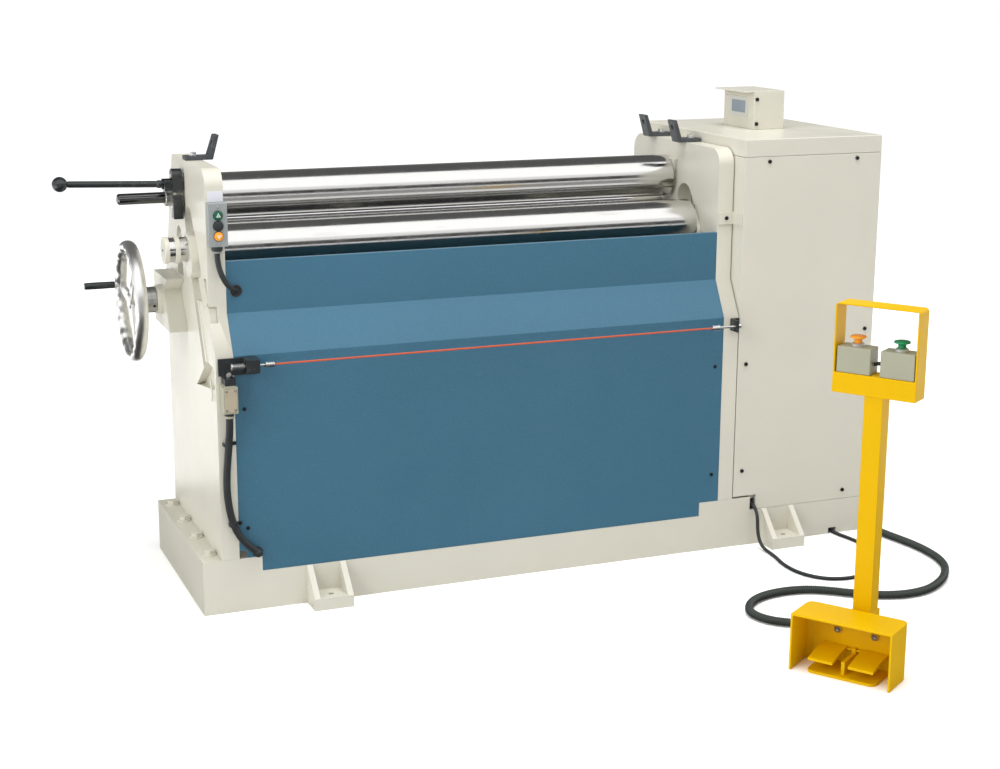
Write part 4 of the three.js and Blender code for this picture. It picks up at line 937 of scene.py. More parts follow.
HOSE_ROUTE = Route([
    (0.52484, -1.01675, 0.016), (0.53448, -1.01012, 0.016), (0.54437, -1.00333, 0.016),
    (0.584, -0.973, 0.013), (0.602, -0.94, 0.011), (0.601, -0.902, 0.011), (0.585, -0.869, 0.011),
    (0.557, -0.843, 0.011), (0.522, -0.821, 0.011), (0.494, -0.796, 0.011), (0.478, -0.766, 0.011),
    (0.475, -0.732, 0.011), (0.489, -0.698, 0.011), (0.52, -0.666, 0.011), (0.562, -0.645, 0.011),
    (0.61, -0.637, 0.011), (0.656, -0.64, 0.011), (0.697, -0.654, 0.011), (0.732, -0.677, 0.011),
    (0.77, -0.708, 0.011), (0.821, -0.74, 0.011), (0.882, -0.759, 0.011), (0.952, -0.752, 0.011),
    (1.022, -0.712, 0.011), (1.07, -0.664, 0.011), (1.101, -0.618, 0.011), (1.119, -0.564, 0.011),
    (1.125, -0.503, 0.011), (1.122, -0.448, 0.011), (1.113, -0.396, 0.011), (1.104, -0.346, 0.011),
    (1.1, -0.292, 0.011), (1.101, -0.242, 0.012), (1.106, -0.206, 0.018), (1.11, -0.182, 0.025),
    (1.1123, -0.167, 0.03), (1.1123, -0.157, 0.03), (1.1123, -0.1473, 0.03),
])
CABLE_ROUTE = Route([
    (0.742, -0.2203, 0.11), (0.742, -0.2353, 0.11), (0.742, -0.25, 0.11), (0.7417, -0.272, 0.106),
    (0.741, -0.288, 0.094), (0.7402, -0.296, 0.076), (0.7398, -0.299, 0.056), (0.74, -0.304, 0.036),
    (0.741, -0.316, 0.018), (0.7425, -0.334, 0.008), (0.744, -0.356, 0.005), (0.74, -0.395, 0.005),
    (0.733, -0.433, 0.005), (0.73, -0.47, 0.005), (0.734, -0.512, 0.005), (0.75, -0.553, 0.005),
    (0.78, -0.584, 0.005), (0.822, -0.598, 0.005), (0.865, -0.594, 0.005), (0.906, -0.571, 0.005),
    (0.946, -0.535, 0.005), (0.981, -0.488, 0.005), (1.003, -0.433, 0.005), (1.008, -0.38, 0.005),
    (1.002, -0.33, 0.005), (0.994, -0.29, 0.005), (0.9925, -0.262, 0.005), (0.9925, -0.2353, 0.005),
    (0.9925, -0.2203, 0.005),
])
BOX_ROUTE = Route([
    (-0.6575, -0.2258, 0.8537), (-0.6575, -0.2258, 0.846), (-0.6565, -0.2266, 0.833),
    (-0.6535, -0.229, 0.815), (-0.647, -0.231, 0.797), (-0.638, -0.23, 0.781), (-0.627, -0.225, 0.77),
    (-0.617, -0.216, 0.763), (-0.608, -0.203, 0.758),
])
SWITCH_ROUTE = Route([
    (-0.655, -0.2853, 0.4797), (-0.655, -0.2853, 0.468), (-0.6554, -0.284, 0.45), (-0.6565, -0.28, 0.425),
    (-0.659, -0.277, 0.39), (-0.6625, -0.276, 0.352), (-0.664, -0.276, 0.312), (-0.6615, -0.276, 0.272),
    (-0.655, -0.276, 0.235), (-0.644, -0.276, 0.203), (-0.629, -0.276, 0.178), (-0.612, -0.2755, 0.16),
    (-0.597, -0.2746, 0.147),
])


@dataclass
class Cords:
    """The hose on the floor, the thin cable and the two short conduits."""

    hose_length: float = 1.610
    hose_diameter: float = 0.0196
    hose_root: float = 0.0085
    rib_pitch: float = 0.0046
    crest_fall: float = 0.0003
    hose_sides: int = 18
    plain: Sequence[tuple[str, str, Route, float, float]] = (
        ("thin_floor_cable", "thin_cable", CABLE_ROUTE, 0.965, 0.009),
        ("button_conduit", "button_box_conduit", BOX_ROUTE, 0.125, 0.013),
        ("switch_conduit_tube", "switch_conduit", SWITCH_ROUTE, 0.354, 0.017),
    )

    def build(self) -> None:
        hose = self._ribbed("floor_hose", HOSE_ROUTE)
        length, diameter = self.hose_length, self.hose_diameter
        self._declare(hose, "ribbed_hose", HOSE_ROUTE, length, diameter, HOSE_RUBBER, True)
        for name, node, route, length, diameter in self.plain:
            cord = Bench.tube(name, route.sampled(6), diameter / 2, 4)
            self._declare(cord, node, route, length, diameter, RUBBER, False)

    @staticmethod
    def _declare(
        piece: Piece, node: str, route: Route, length: float, diameter: float, finish: Finish, mesh: bool
    ) -> None:
        """Mounts a cord.

        Args:
            piece: The cord.
            node: The CAD node that it replaces.
            route: Its middle line.
            length: Its length, which is not used.
            diameter: Its outer diameter, which is not used.
            finish: Its finish.
            mesh: Whether it is a mesh.
        """
        Bench.mount(piece, "machine", Slot.RUBBER, finish, [node])
        [tuple(point) for point in route.sampled(8)] if mesh else None

    def _ribbed(self, name: str, route: Route) -> Piece:
        """A corrugated hose with a round crest and a narrow root in each pitch.

        Args:
            name: The piece's name.
            route: Its middle line.

        Returns:
            The hose as a closed mesh.
        """
        crest = self.hose_diameter / 2
        shoulder = crest - self.crest_fall
        radii = (self.hose_root, shoulder, crest, shoulder)
        centres = route.spaced(self.rib_pitch / len(radii))
        centres = centres[: len(centres) // len(radii) * len(radii) + 1]
        side = (centres[1] - centres[0]).orthogonal().normalized()
        verts: list[Vector] = []
        count = self.hose_sides
        for index, centre in enumerate(centres):
            ahead = centres[min(index + 1, len(centres) - 1)] - centres[max(index - 1, 0)]
            side = (side - ahead * (side.dot(ahead) / ahead.length_squared)).normalized()
            up = ahead.normalized().cross(side)
            radius = radii[index % len(radii)]
            for step in range(count):
                angle = math.tau * step / count
                across = side * (radius * math.cos(angle))
                verts.append(centre + across + up * (radius * math.sin(angle)))
        faces: list[Sequence[int]] = []
        last = (len(centres) - 1) * count
        for low in range(0, last, count):
            for step in range(count):
                after = (step + 1) % count
                faces.append((low + step, low + after, low + count + after, low + count + step))
        faces.append(tuple(range(count))[::-1])
        faces.append(tuple(range(last, last + count)))
        mesh = bpy.data.meshes.new(name)
        mesh.from_pydata(verts, [], faces)
        piece = bpy.data.objects.new(name, mesh)
        bpy.context.scene.collection.objects.link(piece)
        Bench.only(piece)
        bpy.ops.object.shade_smooth_by_angle(angle=math.radians(60))
        return piece


@dataclass
class Studio:
    """The camera, the plain floor, the soft lamps and the cards that polished metal mirrors."""

    place: Point = (-1.5423, -4.1486, 1.5102)
    right: Point = (0.9276, -0.3735, 0.0)
    forward: Point = (0.3630, 0.9016, -0.2353)
    roll: float = 0.26
    lens: float = 63.54
    sensor: float = 36.0
    clip: Pair = (0.01, 200.0)
    ambient: float = 0.62
    floor_span: float = 60.0
    floor_drop: float = 0.0004
    floor_level: float = 0.86
    near_white: float = 1.16
    far_white: float = 1.72
    white_reach: Pair = (1.6, 4.5)
    lamps: Sequence[tuple[str, Point, Point, float, float]] = (
        ("key_light", (-4.8, -2.6, 3.4), (0.0, 0.0, 0.5), 2.4, 110.0),
        ("low_left_fill", (-4.2, -0.9, 0.6), (-0.6, 0.0, 0.1), 1.4, 26.0),
        ("front_fill", (1.8, -5.2, 2.6), (0.2, 0.0, 0.5), 3.0, 6.0),
        ("top_light", (0.3, -0.9, 4.5), (0.3, 0.0, 0.6), 2.2, 125.0),
    )
    cards: Sequence[tuple[str, float, float, Pair, Pair]] = (
        ("softbox_card", 1.4, 9.0, (-5.4, 4.0), (-0.5, 5.9)),
        ("overhead_card", 0.11, 9.0, (-0.4, 6.0), (7.5, 6.0)),
        ("back_card", 0.16, 9.0, (7.5, 6.0), (7.5, 0.1)),
        ("front_card", 0.07, 9.0, (-7.0, 0.5), (-7.0, 2.75)),
        ("low_card", 0.34, 9.0, (-7.0, 0.001), (-1.9, 0.001)),
        ("near_card", 0.03, 2.0, (-1.9, 0.001), (0.8, 0.001)),
    )

    def build(self) -> None:
        """Makes the camera, floor, world, lamps and cards."""
        self._camera()
        self._floor()
        self._world()
        for lamp in self.lamps:
            self._lamp(*lamp)
        for card in self.cards:
            self._card(*card)

    def _camera(self) -> None:
        """The camera at the photograph's angle."""
        data = bpy.data.cameras.new("camera")
        data.lens = self.lens
        data.sensor_width = self.sensor
        data.sensor_fit = "HORIZONTAL"
        data.clip_start, data.clip_end = self.clip
        camera = bpy.data.objects.new("camera", data)
        bpy.context.scene.collection.objects.link(camera)
        right = Vector(self.right).normalized()
        forward = Vector(self.forward).normalized()
        up = right.cross(forward).normalized()
        turn = math.radians(self.roll)
        across = right * math.cos(turn) + up * math.sin(turn)
        above = up * math.cos(turn) - right * math.sin(turn)
        matrix = Matrix((across, above, -forward)).transposed().to_4x4()
        matrix.translation = Vector(self.place)
        camera.matrix_world = matrix
        bpy.context.scene.camera = camera

    def _floor(self) -> None:
        """A plain white floor that keeps the object's shadow."""
        Bench.clear()
        bpy.ops.mesh.primitive_plane_add(size=self.floor_span, location=(0, 0, -self.floor_drop))
        floor = Bench.named("studio_floor")
        made = bpy.data.materials.new("studio_floor")
        made.use_nodes = True
        graph = Graph(made.node_tree)
        seen = self._seen(graph)
        far = graph.node("ShaderNodeVectorMath", {"operation": "LENGTH"}, {0: graph.place()}, "Value")
        spread = far.spread(*self.white_reach)
        white = graph.blend(spread, grey(self.near_white), grey(self.far_white))
        shade = graph.blend(seen, grey(self.floor_level), white)
        surface = graph.node("ShaderNodeBsdfDiffuse", {}, {"Color": shade})
        graph.raw("ShaderNodeOutputMaterial", {}, {"Surface": surface})
        floor.data.materials.append(made)

    @staticmethod
    def _seen(graph: Graph) -> Sock:
        """1 for rays that show the background itself, seen straight, in metal or through glass."""
        rays = [
            graph.node("ShaderNodeLightPath", {}, {}, kind)
            for kind in ("Is Camera Ray", "Is Glossy Ray", "Is Transmission Ray")
        ]
        return (rays[0] + rays[1] + rays[2]).held()

    def _world(self) -> None:
        """Even light all round, and white where the background shows."""
        world = bpy.data.worlds.new("studio_world")
        world.use_nodes = True
        graph = Graph(world.node_tree)
        seen = self._seen(graph)
        level = seen * (1.0 - self.ambient) + self.ambient
        inputs = {"Color": (*grey(1.0), 1.0), "Strength": level}
        back = graph.node("ShaderNodeBackground", {}, inputs)
        graph.raw("ShaderNodeOutputWorld", {}, {"Surface": back})
        bpy.context.scene.world = world
        bpy.context.scene.view_settings.view_transform = "Standard"

    @staticmethod
    def _lamp(name: str, place: Point, target: Point, size: float, power: float) -> None:
        """A square soft light aimed at a point."""
        data = bpy.data.lights.new(name, "AREA")
        data.shape = "SQUARE"
        data.size = size
        data.energy = power
        lamp = bpy.data.objects.new(name, data)
        bpy.context.scene.collection.objects.link(lamp)
        aim = (Vector(target) - Vector(place)).to_track_quat("-Z", "Y").to_matrix().to_4x4()
        lamp.matrix_world = Matrix.Translation(place) @ aim
        lamp.visible_glossy = False

    @staticmethod
    def _card(name: str, level: float, half: float, near: Pair, far: Pair) -> None:
        """A grey card that only shows in polished metal.

        Args:
            name: Its name.
            level: How bright it is.
            half: Half its width, to both sides of the middle.
            near: The depth and height of one long edge.
            far: The depth and height of the other.
        """
        Bench.clear()
        bpy.ops.mesh.primitive_plane_add(size=1)
        card = Bench.named(name)
        corners = ((-half, *near), (half, *near), (half, *far), (-half, *far))
        for index, corner in zip(card.data.polygons[0].vertices, corners):
            card.data.vertices[index].co = Vector(corner)
        made = bpy.data.materials.new(name)
        made.use_nodes = True
        graph = Graph(made.node_tree)
        glow = graph.node("ShaderNodeEmission", {}, {"Color": (*grey(level), 1.0), "Strength": 1.0})
        graph.raw("ShaderNodeOutputMaterial", {}, {"Surface": glow})
        card.data.materials.append(made)
        card.visible_camera = False
        card.visible_diffuse = False
        card.visible_transmission = False
        card.visible_shadow = False


@dataclass
class Frames:
    """The cast side frames, the plinth, their ties and their blocks."""

    edges: Sequence[tuple[str, float]] = (
        ("base_plinth", 0.0012), ("left_side_frame", 0.0030), ("right_side_frame", 0.0030),
        ("worm_housing", 0.0012), ("bending_block_left", 0.0012), ("bending_block_right", 0.0012),
        ("bending_link", 0.0012), ("top_bearing_left", 0.0012), ("top_bearing_right", 0.0012),
        ("lower_bearing_left", 0.0012), ("lower_bearing_right", 0.0012), ("tie_plate", 0.0006),
        ("tie_bar", 0.0015),
    )

    def build(self) -> None:
        """Dresses the castings and the plinth and adds their small parts."""
        for node, edge in self.edges:
            Bench.refinished(node, edge, Slot.CREAM, CREAM)
        for side in ("left", "right"):
            Bench.refinished(f"elevating_screw_{side}", 0.001, Slot.DARK, ZINC)
        self._neck()
        self._hook()
        self._caps()

    @staticmethod
    def _neck() -> None:
        """The stepped collar round the handwheel's shaft on the worm housing."""
        low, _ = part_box("worm_housing")
        start = (low.x, 0.120, 0.690)
        steps = [
            (-0.0004, 0.0125), (-0.0004, 0.024), (-0.0030, 0.026), (-0.0042, 0.026), (-0.0042, 0.0125),
        ]
        collar = Bench.turned("housing_collar", steps + steps[:1], start, Axis.X.vector, 64, 35)
        Bench.mount(collar, "machine", Slot.CREAM, CREAM)

    @staticmethod
    def _hook() -> None:
        """A bent wire hook in the pocket under the link's toe."""
        x, wire = -0.6846, 0.0022
        arc = [(x, -0.232, 0.560), (x, -0.240, 0.545), (x, -0.246, 0.526), (x, -0.240, 0.514)]
        pieces = []
        for index, (here, there) in enumerate(zip(arc, arc[1:])):
            run = Vector(there) - Vector(here)
            length = run.length + 0.001
            profile = [(0, 0), (0, wire), (length, wire), (length, 0)]
            pieces.append(Bench.turned(f"hook_{index}", profile, here, run, 12))
        hook = Bench.smooth(Bench.joined("pocket_hook", pieces), 50)
        Bench.mount(hook, "machine", Slot.CREAM, CREAM)

    @staticmethod
    def _caps() -> None:
        """Grease caps on the blocks and bearings."""
        Fastener("grease_cap", ZINC, Slot.DARK, 0.0036, 0.0045, True).fit([
            Seat((-0.6965, -0.100, 0.862), LEFT, "bending_carriage"),
            Seat((-0.6985, 0.063, 0.985), LEFT),
        ])


@dataclass
class Covers:
    """The blue front cover with its screws and its grommet, and the rear cover."""

    screw_heights: Sequence[float] = (0.205, 0.493)
    screw_x: float = 0.615
    front: float = -0.265

    def build(self) -> None:
        """Dresses both covers and screws the front one on."""
        Bench.refinished("front_cover", 0.0011, Slot.BLUE, BLUE, 3, 18.0)
        Bench.refinished("rear_cover", 0.0010, Slot.CREAM, CREAM)
        hole = (-0.6147, -0.2158, 0.762)
        profile = [
            (0.0012, 0.0), (0.0012, 0.0139), (-0.0014, 0.0139), (-0.0018, 0.0132), (-0.0018, 0.0110),
            (-0.0004, 0.0100), (-0.0004, 0.0),
        ]
        grommet = Bench.turned("conduit_grommet", profile, hole, Axis.Y.vector, 40, 30)
        Bench.mount(grommet, "machine", Slot.RUBBER, RUBBER)
        Fastener("cover_screw", DARK_HEAD, Slot.DARK, 0.0044, 0.0026).fit([
            Seat((x, self.front, z), FRONT)
            for x in (-self.screw_x, self.screw_x)
            for z in self.screw_heights
        ])


@dataclass
class Cabinet:
    """The drive cabinet, its lid and the display box."""

    front: float = -0.265
    screws: Sequence[Pair] = (
        (0.752, 1.012), (1.010, 1.012), (0.705, 0.492), (0.705, 0.205), (1.016, 0.120), (1.060, 0.560),
    )
    side_screws: Sequence[Pair] = ((-0.225, 0.960), (0.265, 0.960), (-0.225, 0.140), (0.265, 0.140))
    rear_screws: Sequence[Pair] = ((0.725, 0.960), (1.040, 0.960), (0.725, 0.140), (1.040, 0.140))
    vent_start: float = 0.200
    vent_left: float = 0.80
    vent_width: float = 0.16
    vent_count: int = 9
    vent_pitch: float = 0.014

    def build(self) -> None:
        """Dresses the cabinet and adds screws, louvres and the display."""
        for node, edge in (("drive_cabinet", 0.0016), ("cabinet_lid", 0.0026), ("display_box", 0.0010)):
            Bench.refinished(node, edge, Slot.CREAM, CREAM, 3)
        side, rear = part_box("drive_cabinet")[1].xy
        seats = [Seat((x, self.front, z), FRONT) for x, z in self.screws]
        seats += [Seat((side, y, z), RIGHT) for y, z in self.side_screws]
        seats += [Seat((x, rear, z), BACK) for x, z in self.rear_screws]
        seats.append(Seat((0.6595, -0.2183, 0.867), FRONT))
        seats += [Seat((0.842, -0.035, z), FRONT) for z in (1.084, 1.148)]
        Fastener("cabinet_screw", DARK_HEAD, Slot.DARK, 0.0050, 0.0034).fit(seats)
        self._strap()
        self._louvres()
        self._display()

    @staticmethod
    def _strap() -> None:
        """The tie plate's folded tail on the cabinet's side."""
        low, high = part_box("tie_plate")
        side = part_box("drive_cabinet")[0].x
        near, far = (side - 0.0028, -0.2625, low.z), (side - 0.0002, low.y + 0.002, high.z)
        tail = Bench.block("tie_plate_tail", near, far, 0.0006)
        Bench.mount(tail, "machine", Slot.CREAM, CREAM)

    def _louvres(self) -> None:
        """Pressed louvres low on the cabinet's back."""
        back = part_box("drive_cabinet")[1].y
        width = Vector((self.vent_width, 0, 0))
        fins = []
        for index in range(self.vent_count):
            z = self.vent_start + index * self.vent_pitch
            corners = ((back - 0.0004, z), (back + 0.0072, z), (back - 0.0004, z + 0.010))
            outline = [Vector((self.vent_left, *corner)) for corner in corners]
            fins.append(Bench.prism(f"fin_{index}", outline, width, 0.0008))
        louvres = Bench.joined("cabinet_louvres", fins)
        Bench.mount(louvres, "machine", Slot.CREAM, CREAM)

    @staticmethod
    def _display() -> None:
        """The window's pale frame and its blank screen, set in the display box."""
        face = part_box("display_box")[0].x + 0.030
        y = (0.0060, 0.0860)
        z = (1.1060, 1.1455)
        for name, back, front, border, edge, finish in (
            ("display_bezel", 0.0020, 0.0010, 0.007, 0.0006, SCREEN_FRAME),
            ("display_glass", 0.0, 0.0018, -0.004, 0.0004, SCREEN),
        ):
            low = (face - front, y[0] - border, z[0] - border)
            high = (face + back, y[1] + border, z[1] + border)
            Bench.mount(Bench.block(name, low, high, edge), "machine", Slot.GREY, finish)


@dataclass
class Rolls:
    """The three rolls, each turned, with its journals, collars and end flanges."""

    half: float = 0.625
    radius: float = 0.055
    bending_radius: float = 0.0582
    chamfer: float = 0.0018
    journal: float = 0.029
    steps: int = 128

    def build(self) -> None:
        """Turns the three rolls and what sits on their ends."""
        self._top()
        self._bending()
        self._lower()

    def _barrel(self, left: float, right: float, journal: float, r: float) -> list[Pair]:
        """The half section of a roll of one radius, with plain journals at both ends."""
        c, h = self.chamfer, self.half
        return [
            (left, 0), (left, journal - c), (left + c, journal), (-h, journal), (-h, r - c), (-h + c, r),
            (h - c, r), (h, r - c), (h, journal), (right - c, journal), (right, journal - c), (right, 0),
        ]

    def _top(self) -> None:
        """The top roll, its silver collar and its dark pull rod."""
        place = (0.0, 0.063, 0.947)
        profile = self._barrel(-0.6985, 0.7174, self.journal, self.radius)[:-1]
        profile += [(0.7174, 0.017), (0.7304, 0.017), (0.7306, 0.0)]
        piece = Bench.turned("top_roll_barrel", profile, place, Axis.X.vector, self.steps, 25)
        Bench.mount(piece, "top_roll", Slot.ROLL, ROLL_STEEL, ["top_roll"])
        collar = [(-0.6982, 0), (-0.6982, 0.0215), (-0.7145, 0.0215), (-0.7162, 0.0198), (-0.7162, 0)]
        piece = Bench.turned("top_roll_collar", collar, place, Axis.X.vector, 64, 30)
        Bench.mount(piece, "top_roll", Slot.ROLL, ROLL_END)
        rod = [
            (-0.7155, 0), (-0.7155, 0.0135), (-0.8250, 0.0135), (-0.8290, 0.0095), (-0.8290, 0.004),
            (-0.8270, 0.0),
        ]
        piece = Bench.turned("top_roll_rod", rod, place, Axis.X.vector, 64, 30)
        Bench.mount(piece, "top_roll", Slot.DARK, DARK_CHROME)

    def _bending(self) -> None:
        """The bending roll, with painted flanges either side of its bright journal."""
        place = (0.0, -0.068, 0.841)
        profile = self._barrel(-0.7488, 0.675, self.journal, self.bending_radius)
        piece = Bench.turned("bending_roll_barrel", profile, place, Axis.X.vector, self.steps, 25)
        Bench.mount(piece, "bending_roll", Slot.ROLL, ROLL_STEEL, ["bending_roll"])
        for name, near, far in (("inner_flange", -0.7140, -0.7250), ("outer_flange", -0.7390, -0.7500)):
            ring = [
                (near, 0.0285), (near, 0.0312), (near - 0.0008, 0.032), (far + 0.0012, 0.032), (far, 0.0308),
            ]
            if name == "inner_flange":
                ring += [(far, 0.0285), (near, 0.0285)]
            else:
                ring = [(near, 0.0), *ring, (far, 0.0)]
            piece = Bench.turned(name, ring, place, Axis.X.vector, 64, 30)
            Bench.mount(piece, "bending_roll", Slot.CREAM, CREAM)
        seat = Seat((-0.7500, place[1], place[2]), LEFT, "bending_roll")
        Fastener("flange_screw", DARK_HEAD, Slot.DARK, 0.0032, 0.0008).fit([seat])

    def _lower(self) -> None:
        """The lower roll, hidden under the other two."""
        profile = self._barrel(-0.6724, 0.6724, 0.023, self.radius)
        place = (0.0, 0.085, 0.831)
        piece = Bench.turned("lower_roll_barrel", profile, place, Axis.X.vector, self.steps, 25)
        Bench.mount(piece, "lower_roll", Slot.ROLL, ROLL_STEEL, ["lower_roll"])


@dataclass
class Wheel:
    """The chromed handwheel with its finger bumps, flat spokes and black grip."""

    plane: float = -0.7956
    centre: tuple[float, float] = (0.120, 0.690)
    rim: float = 0.1365
    grip_ring: float = 0.134
    thick: float = 0.0115
    oval: float = 1.35
    bumps: int = 22
    spoke_phase: float = 8.0
    spoke_width: float = 0.022
    spoke_depth: float = 0.0088
    spoke_root: float = 0.032
    hub_radius: float = 0.0320
    grub_angle: float = 200.0
    bump_height: float = 0.24

    def build(self) -> None:
        """Makes the wheel, its hub and its grip."""
        wheel = self._rim()
        spokes = [self._spoke(index) for index in range(3)]
        nose = self._turned("wheel_nose", (
            (-0.8045, 0), (-0.8045, 0.016), (-0.8020, 0.0195), (-0.7700, 0.0215), (-0.7700, 0),
        ))
        Bench.carve(wheel, [*spokes, nose], "UNION")
        wheel = Bench.smooth(wheel, 40)
        Bench.mount(wheel, "handwheel", Slot.CHROME, CHROME, ["handwheel"])
        r = self.hub_radius
        hub = self._turned("wheel_hub", (
            (-0.7756, 0), (-0.7756, 0.0300), (-0.7740, r), (-0.7530, r), (-0.7524, 0.0310),
            (-0.7512, 0.0310), (-0.7506, r), (-0.7390, r), (-0.7376, 0.0306), (-0.7376, 0.0100),
            (-0.6943, 0.0100), (-0.6943, 0),
        ))
        Bench.mount(hub, "handwheel", Slot.CHROME, ROLL_END)
        angle = math.radians(self.grub_angle)
        out = Vector((0, math.cos(angle), math.sin(angle)))
        spot = Vector((-0.7450, *self.centre)) + out * r
        grub = Fastener("hub_grub_screw", DARK_HEAD, Slot.DARK, 0.0036, 0.0004)
        grub.fit([Seat(tuple(spot), out, "handwheel")])
        self._grip()

    def _turned(self, name: str, profile: Profile) -> Piece:
        """A piece turned on the wheel's own axis, its distances along X."""
        return Bench.turned(name, profile, (0.0, *self.centre), Axis.X.vector, 72, 30)

    def _rim(self) -> Piece:
        """The ring, with rounded finger bumps on its inner front."""
        Bench.clear()
        bpy.ops.mesh.primitive_torus_add(
            major_radius=self.rim, minor_radius=self.thick, major_segments=288, minor_segments=28,
            rotation=(0, math.pi / 2, 0),
        )
        rim = Bench.named("wheel_rim")
        front = math.radians(35)
        for vertex in rim.data.vertices:
            radial = Vector((0.0, vertex.co.y, vertex.co.z))
            around = math.atan2(vertex.co.z, vertex.co.y)
            middle = radial.normalized() * self.rim
            out = vertex.co - middle
            inward = -out.dot(radial.normalized()) / self.thick
            facing = -out.x / self.thick
            lean = max(0.0, inward * math.cos(front) + facing * math.sin(front))
            wave = 0.5 + 0.5 * math.cos(self.bumps * around)
            vertex.co = middle + out * (1.0 - 0.06 * lean + self.bump_height * lean**1.5 * wave)
            vertex.co.x *= self.oval
        rim.data.transform(Matrix.Translation((self.plane, *self.centre)))
        return rim

    def _spoke(self, index: int) -> Piece:
        """A flat spoke, wider at the hub."""
        half = self.spoke_depth / 2
        tip, root = self.spoke_width / 2, self.spoke_root / 2
        outline = [(0.0, -root), (self.rim, -tip), (self.rim, tip), (0.0, root)]
        points = [Vector((-half, along, across)) for along, across in outline]
        spoke = Bench.prism(f"spoke_{index}", points, Vector((self.spoke_depth, 0, 0)), 0.0018)
        turn = Matrix.Rotation(math.radians(self.spoke_phase) + index * math.tau / 3, 4, "X")
        spoke.data.transform(Matrix.Translation((self.plane, *self.centre)) @ turn)
        return spoke

    def _grip(self) -> None:
        """The turning grip on its stem at the rim."""
        angle = math.radians(self.spoke_phase)
        ring = self.grip_ring
        place = (0.0, self.centre[0] + ring * math.cos(angle), self.centre[1] + ring * math.sin(angle))
        profile = [
            (-0.8126, 0.0055), (-0.8126, 0.0078), (-0.8140, 0.0088), (-0.8250, 0.0086), (-0.8500, 0.0090),
            (-0.8750, 0.0088), (-0.8860, 0.0084), (-0.8876, 0.0070), (-0.8876, 0.0055), (-0.8126, 0.0055),
        ]
        grip = Bench.turned("wheel_grip", profile, place, Axis.X.vector, 40, 35)
        Bench.mount(grip, "handwheel_grip", Slot.BLACK, BLACK, ["handwheel_grip"])
        profile = [
            (-0.7960, 0), (-0.7960, 0.0075), (-0.8121, 0.0075), (-0.8124, 0.0048), (-0.8872, 0.0048),
            (-0.8872, 0.0),
        ]
        stem = Bench.turned("grip_stem", profile, place, Axis.X.vector, 32, 30)
        Bench.mount(stem, "handwheel", Slot.CHROME, CHROME)


@dataclass
class Lock:
    """The drop end's keeper, latch and ball lever."""

    pin: Point = (-0.717, 0.022, 0.984)
    tilt: float = 2.15
    knuckle: float = 0.0084
    half: float = 0.0130
    rod: float = 0.0078
    ball: float = 0.018
    ball_at: float = 0.249
    neck_radius: float = 0.0066

    def build(self) -> None:
        """Dresses the two plates and turns the lever."""
        Bench.refinished("bearing_keeper", 0.0030, Slot.BLACK, BLACK, 3)
        Bench.refinished("lock_latch", 0.0022, Slot.BLACK, BLACK, 3)
        self._lever()
        self._pins()

    def _lever(self) -> None:
        """The knuckle, rod and ball as one turned lever."""
        tilt = math.radians(self.tilt)
        along = Vector((-math.cos(tilt), 0, math.sin(tilt)))
        neck = self.ball_at - math.sqrt(self.ball**2 - self.neck_radius**2)
        profile = [
            (0.0046, 0.0), (0.0046, 0.0062), (0.0120, 0.0066), (0.0140, 0.0094), (0.0220, 0.0094),
            (0.0235, self.rod), (neck - 0.004, self.rod), (neck, self.neck_radius),
        ]
        start = math.acos((self.ball_at - neck) / self.ball)
        for step in range(1, 19):
            angle = start + (math.pi - start) * step / 18
            profile.append((self.ball_at - self.ball * math.cos(angle), self.ball * math.sin(angle)))
        profile[-1] = (self.ball_at + self.ball, 0.0)
        rod = Bench.turned("lever_rod", profile, self.pin, along, 40)
        knuckle = [(-self.half + 0.0008, 0.0), (-self.half, 0.0068), (-self.half + 0.0014, self.knuckle)]
        knuckle += [(self.half - 0.0014, self.knuckle), (self.half, 0.0068), (self.half - 0.0008, 0.0)]
        boss = Bench.turned("lever_boss", knuckle, self.pin, Axis.Y.vector, 40)
        Bench.carve(rod, [boss], "UNION")
        Bench.mount(Bench.smooth(rod, 35), "lock_lever", Slot.BLACK, BLACK, ["lock_lever"])

    def _pins(self) -> None:
        """The heads at both ends of the fork's pin, and the end of the latch's big pin."""
        x, _, z = self.pin
        Fastener("fork_pin_head", DARK_HEAD, Slot.DARK, 0.0062, 0.0032, True).fit([
            Seat((x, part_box("lock_latch")[0].y, z), FRONT, "lock_latch"),
            Seat((x, 0.0430, z), BACK, "lock_latch"),
        ])
        profile = [(-0.7116, 0.0), (-0.7116, 0.0042), (-0.7100, 0.0056), (-0.7060, 0.0056), (-0.7060, 0.0)]
        pin = Bench.turned("latch_pin_end", profile, (0.0, 0.016, 1.003), Axis.X.vector, 32, 30)
        Bench.mount(pin, "machine", Slot.DARK, ZINC)


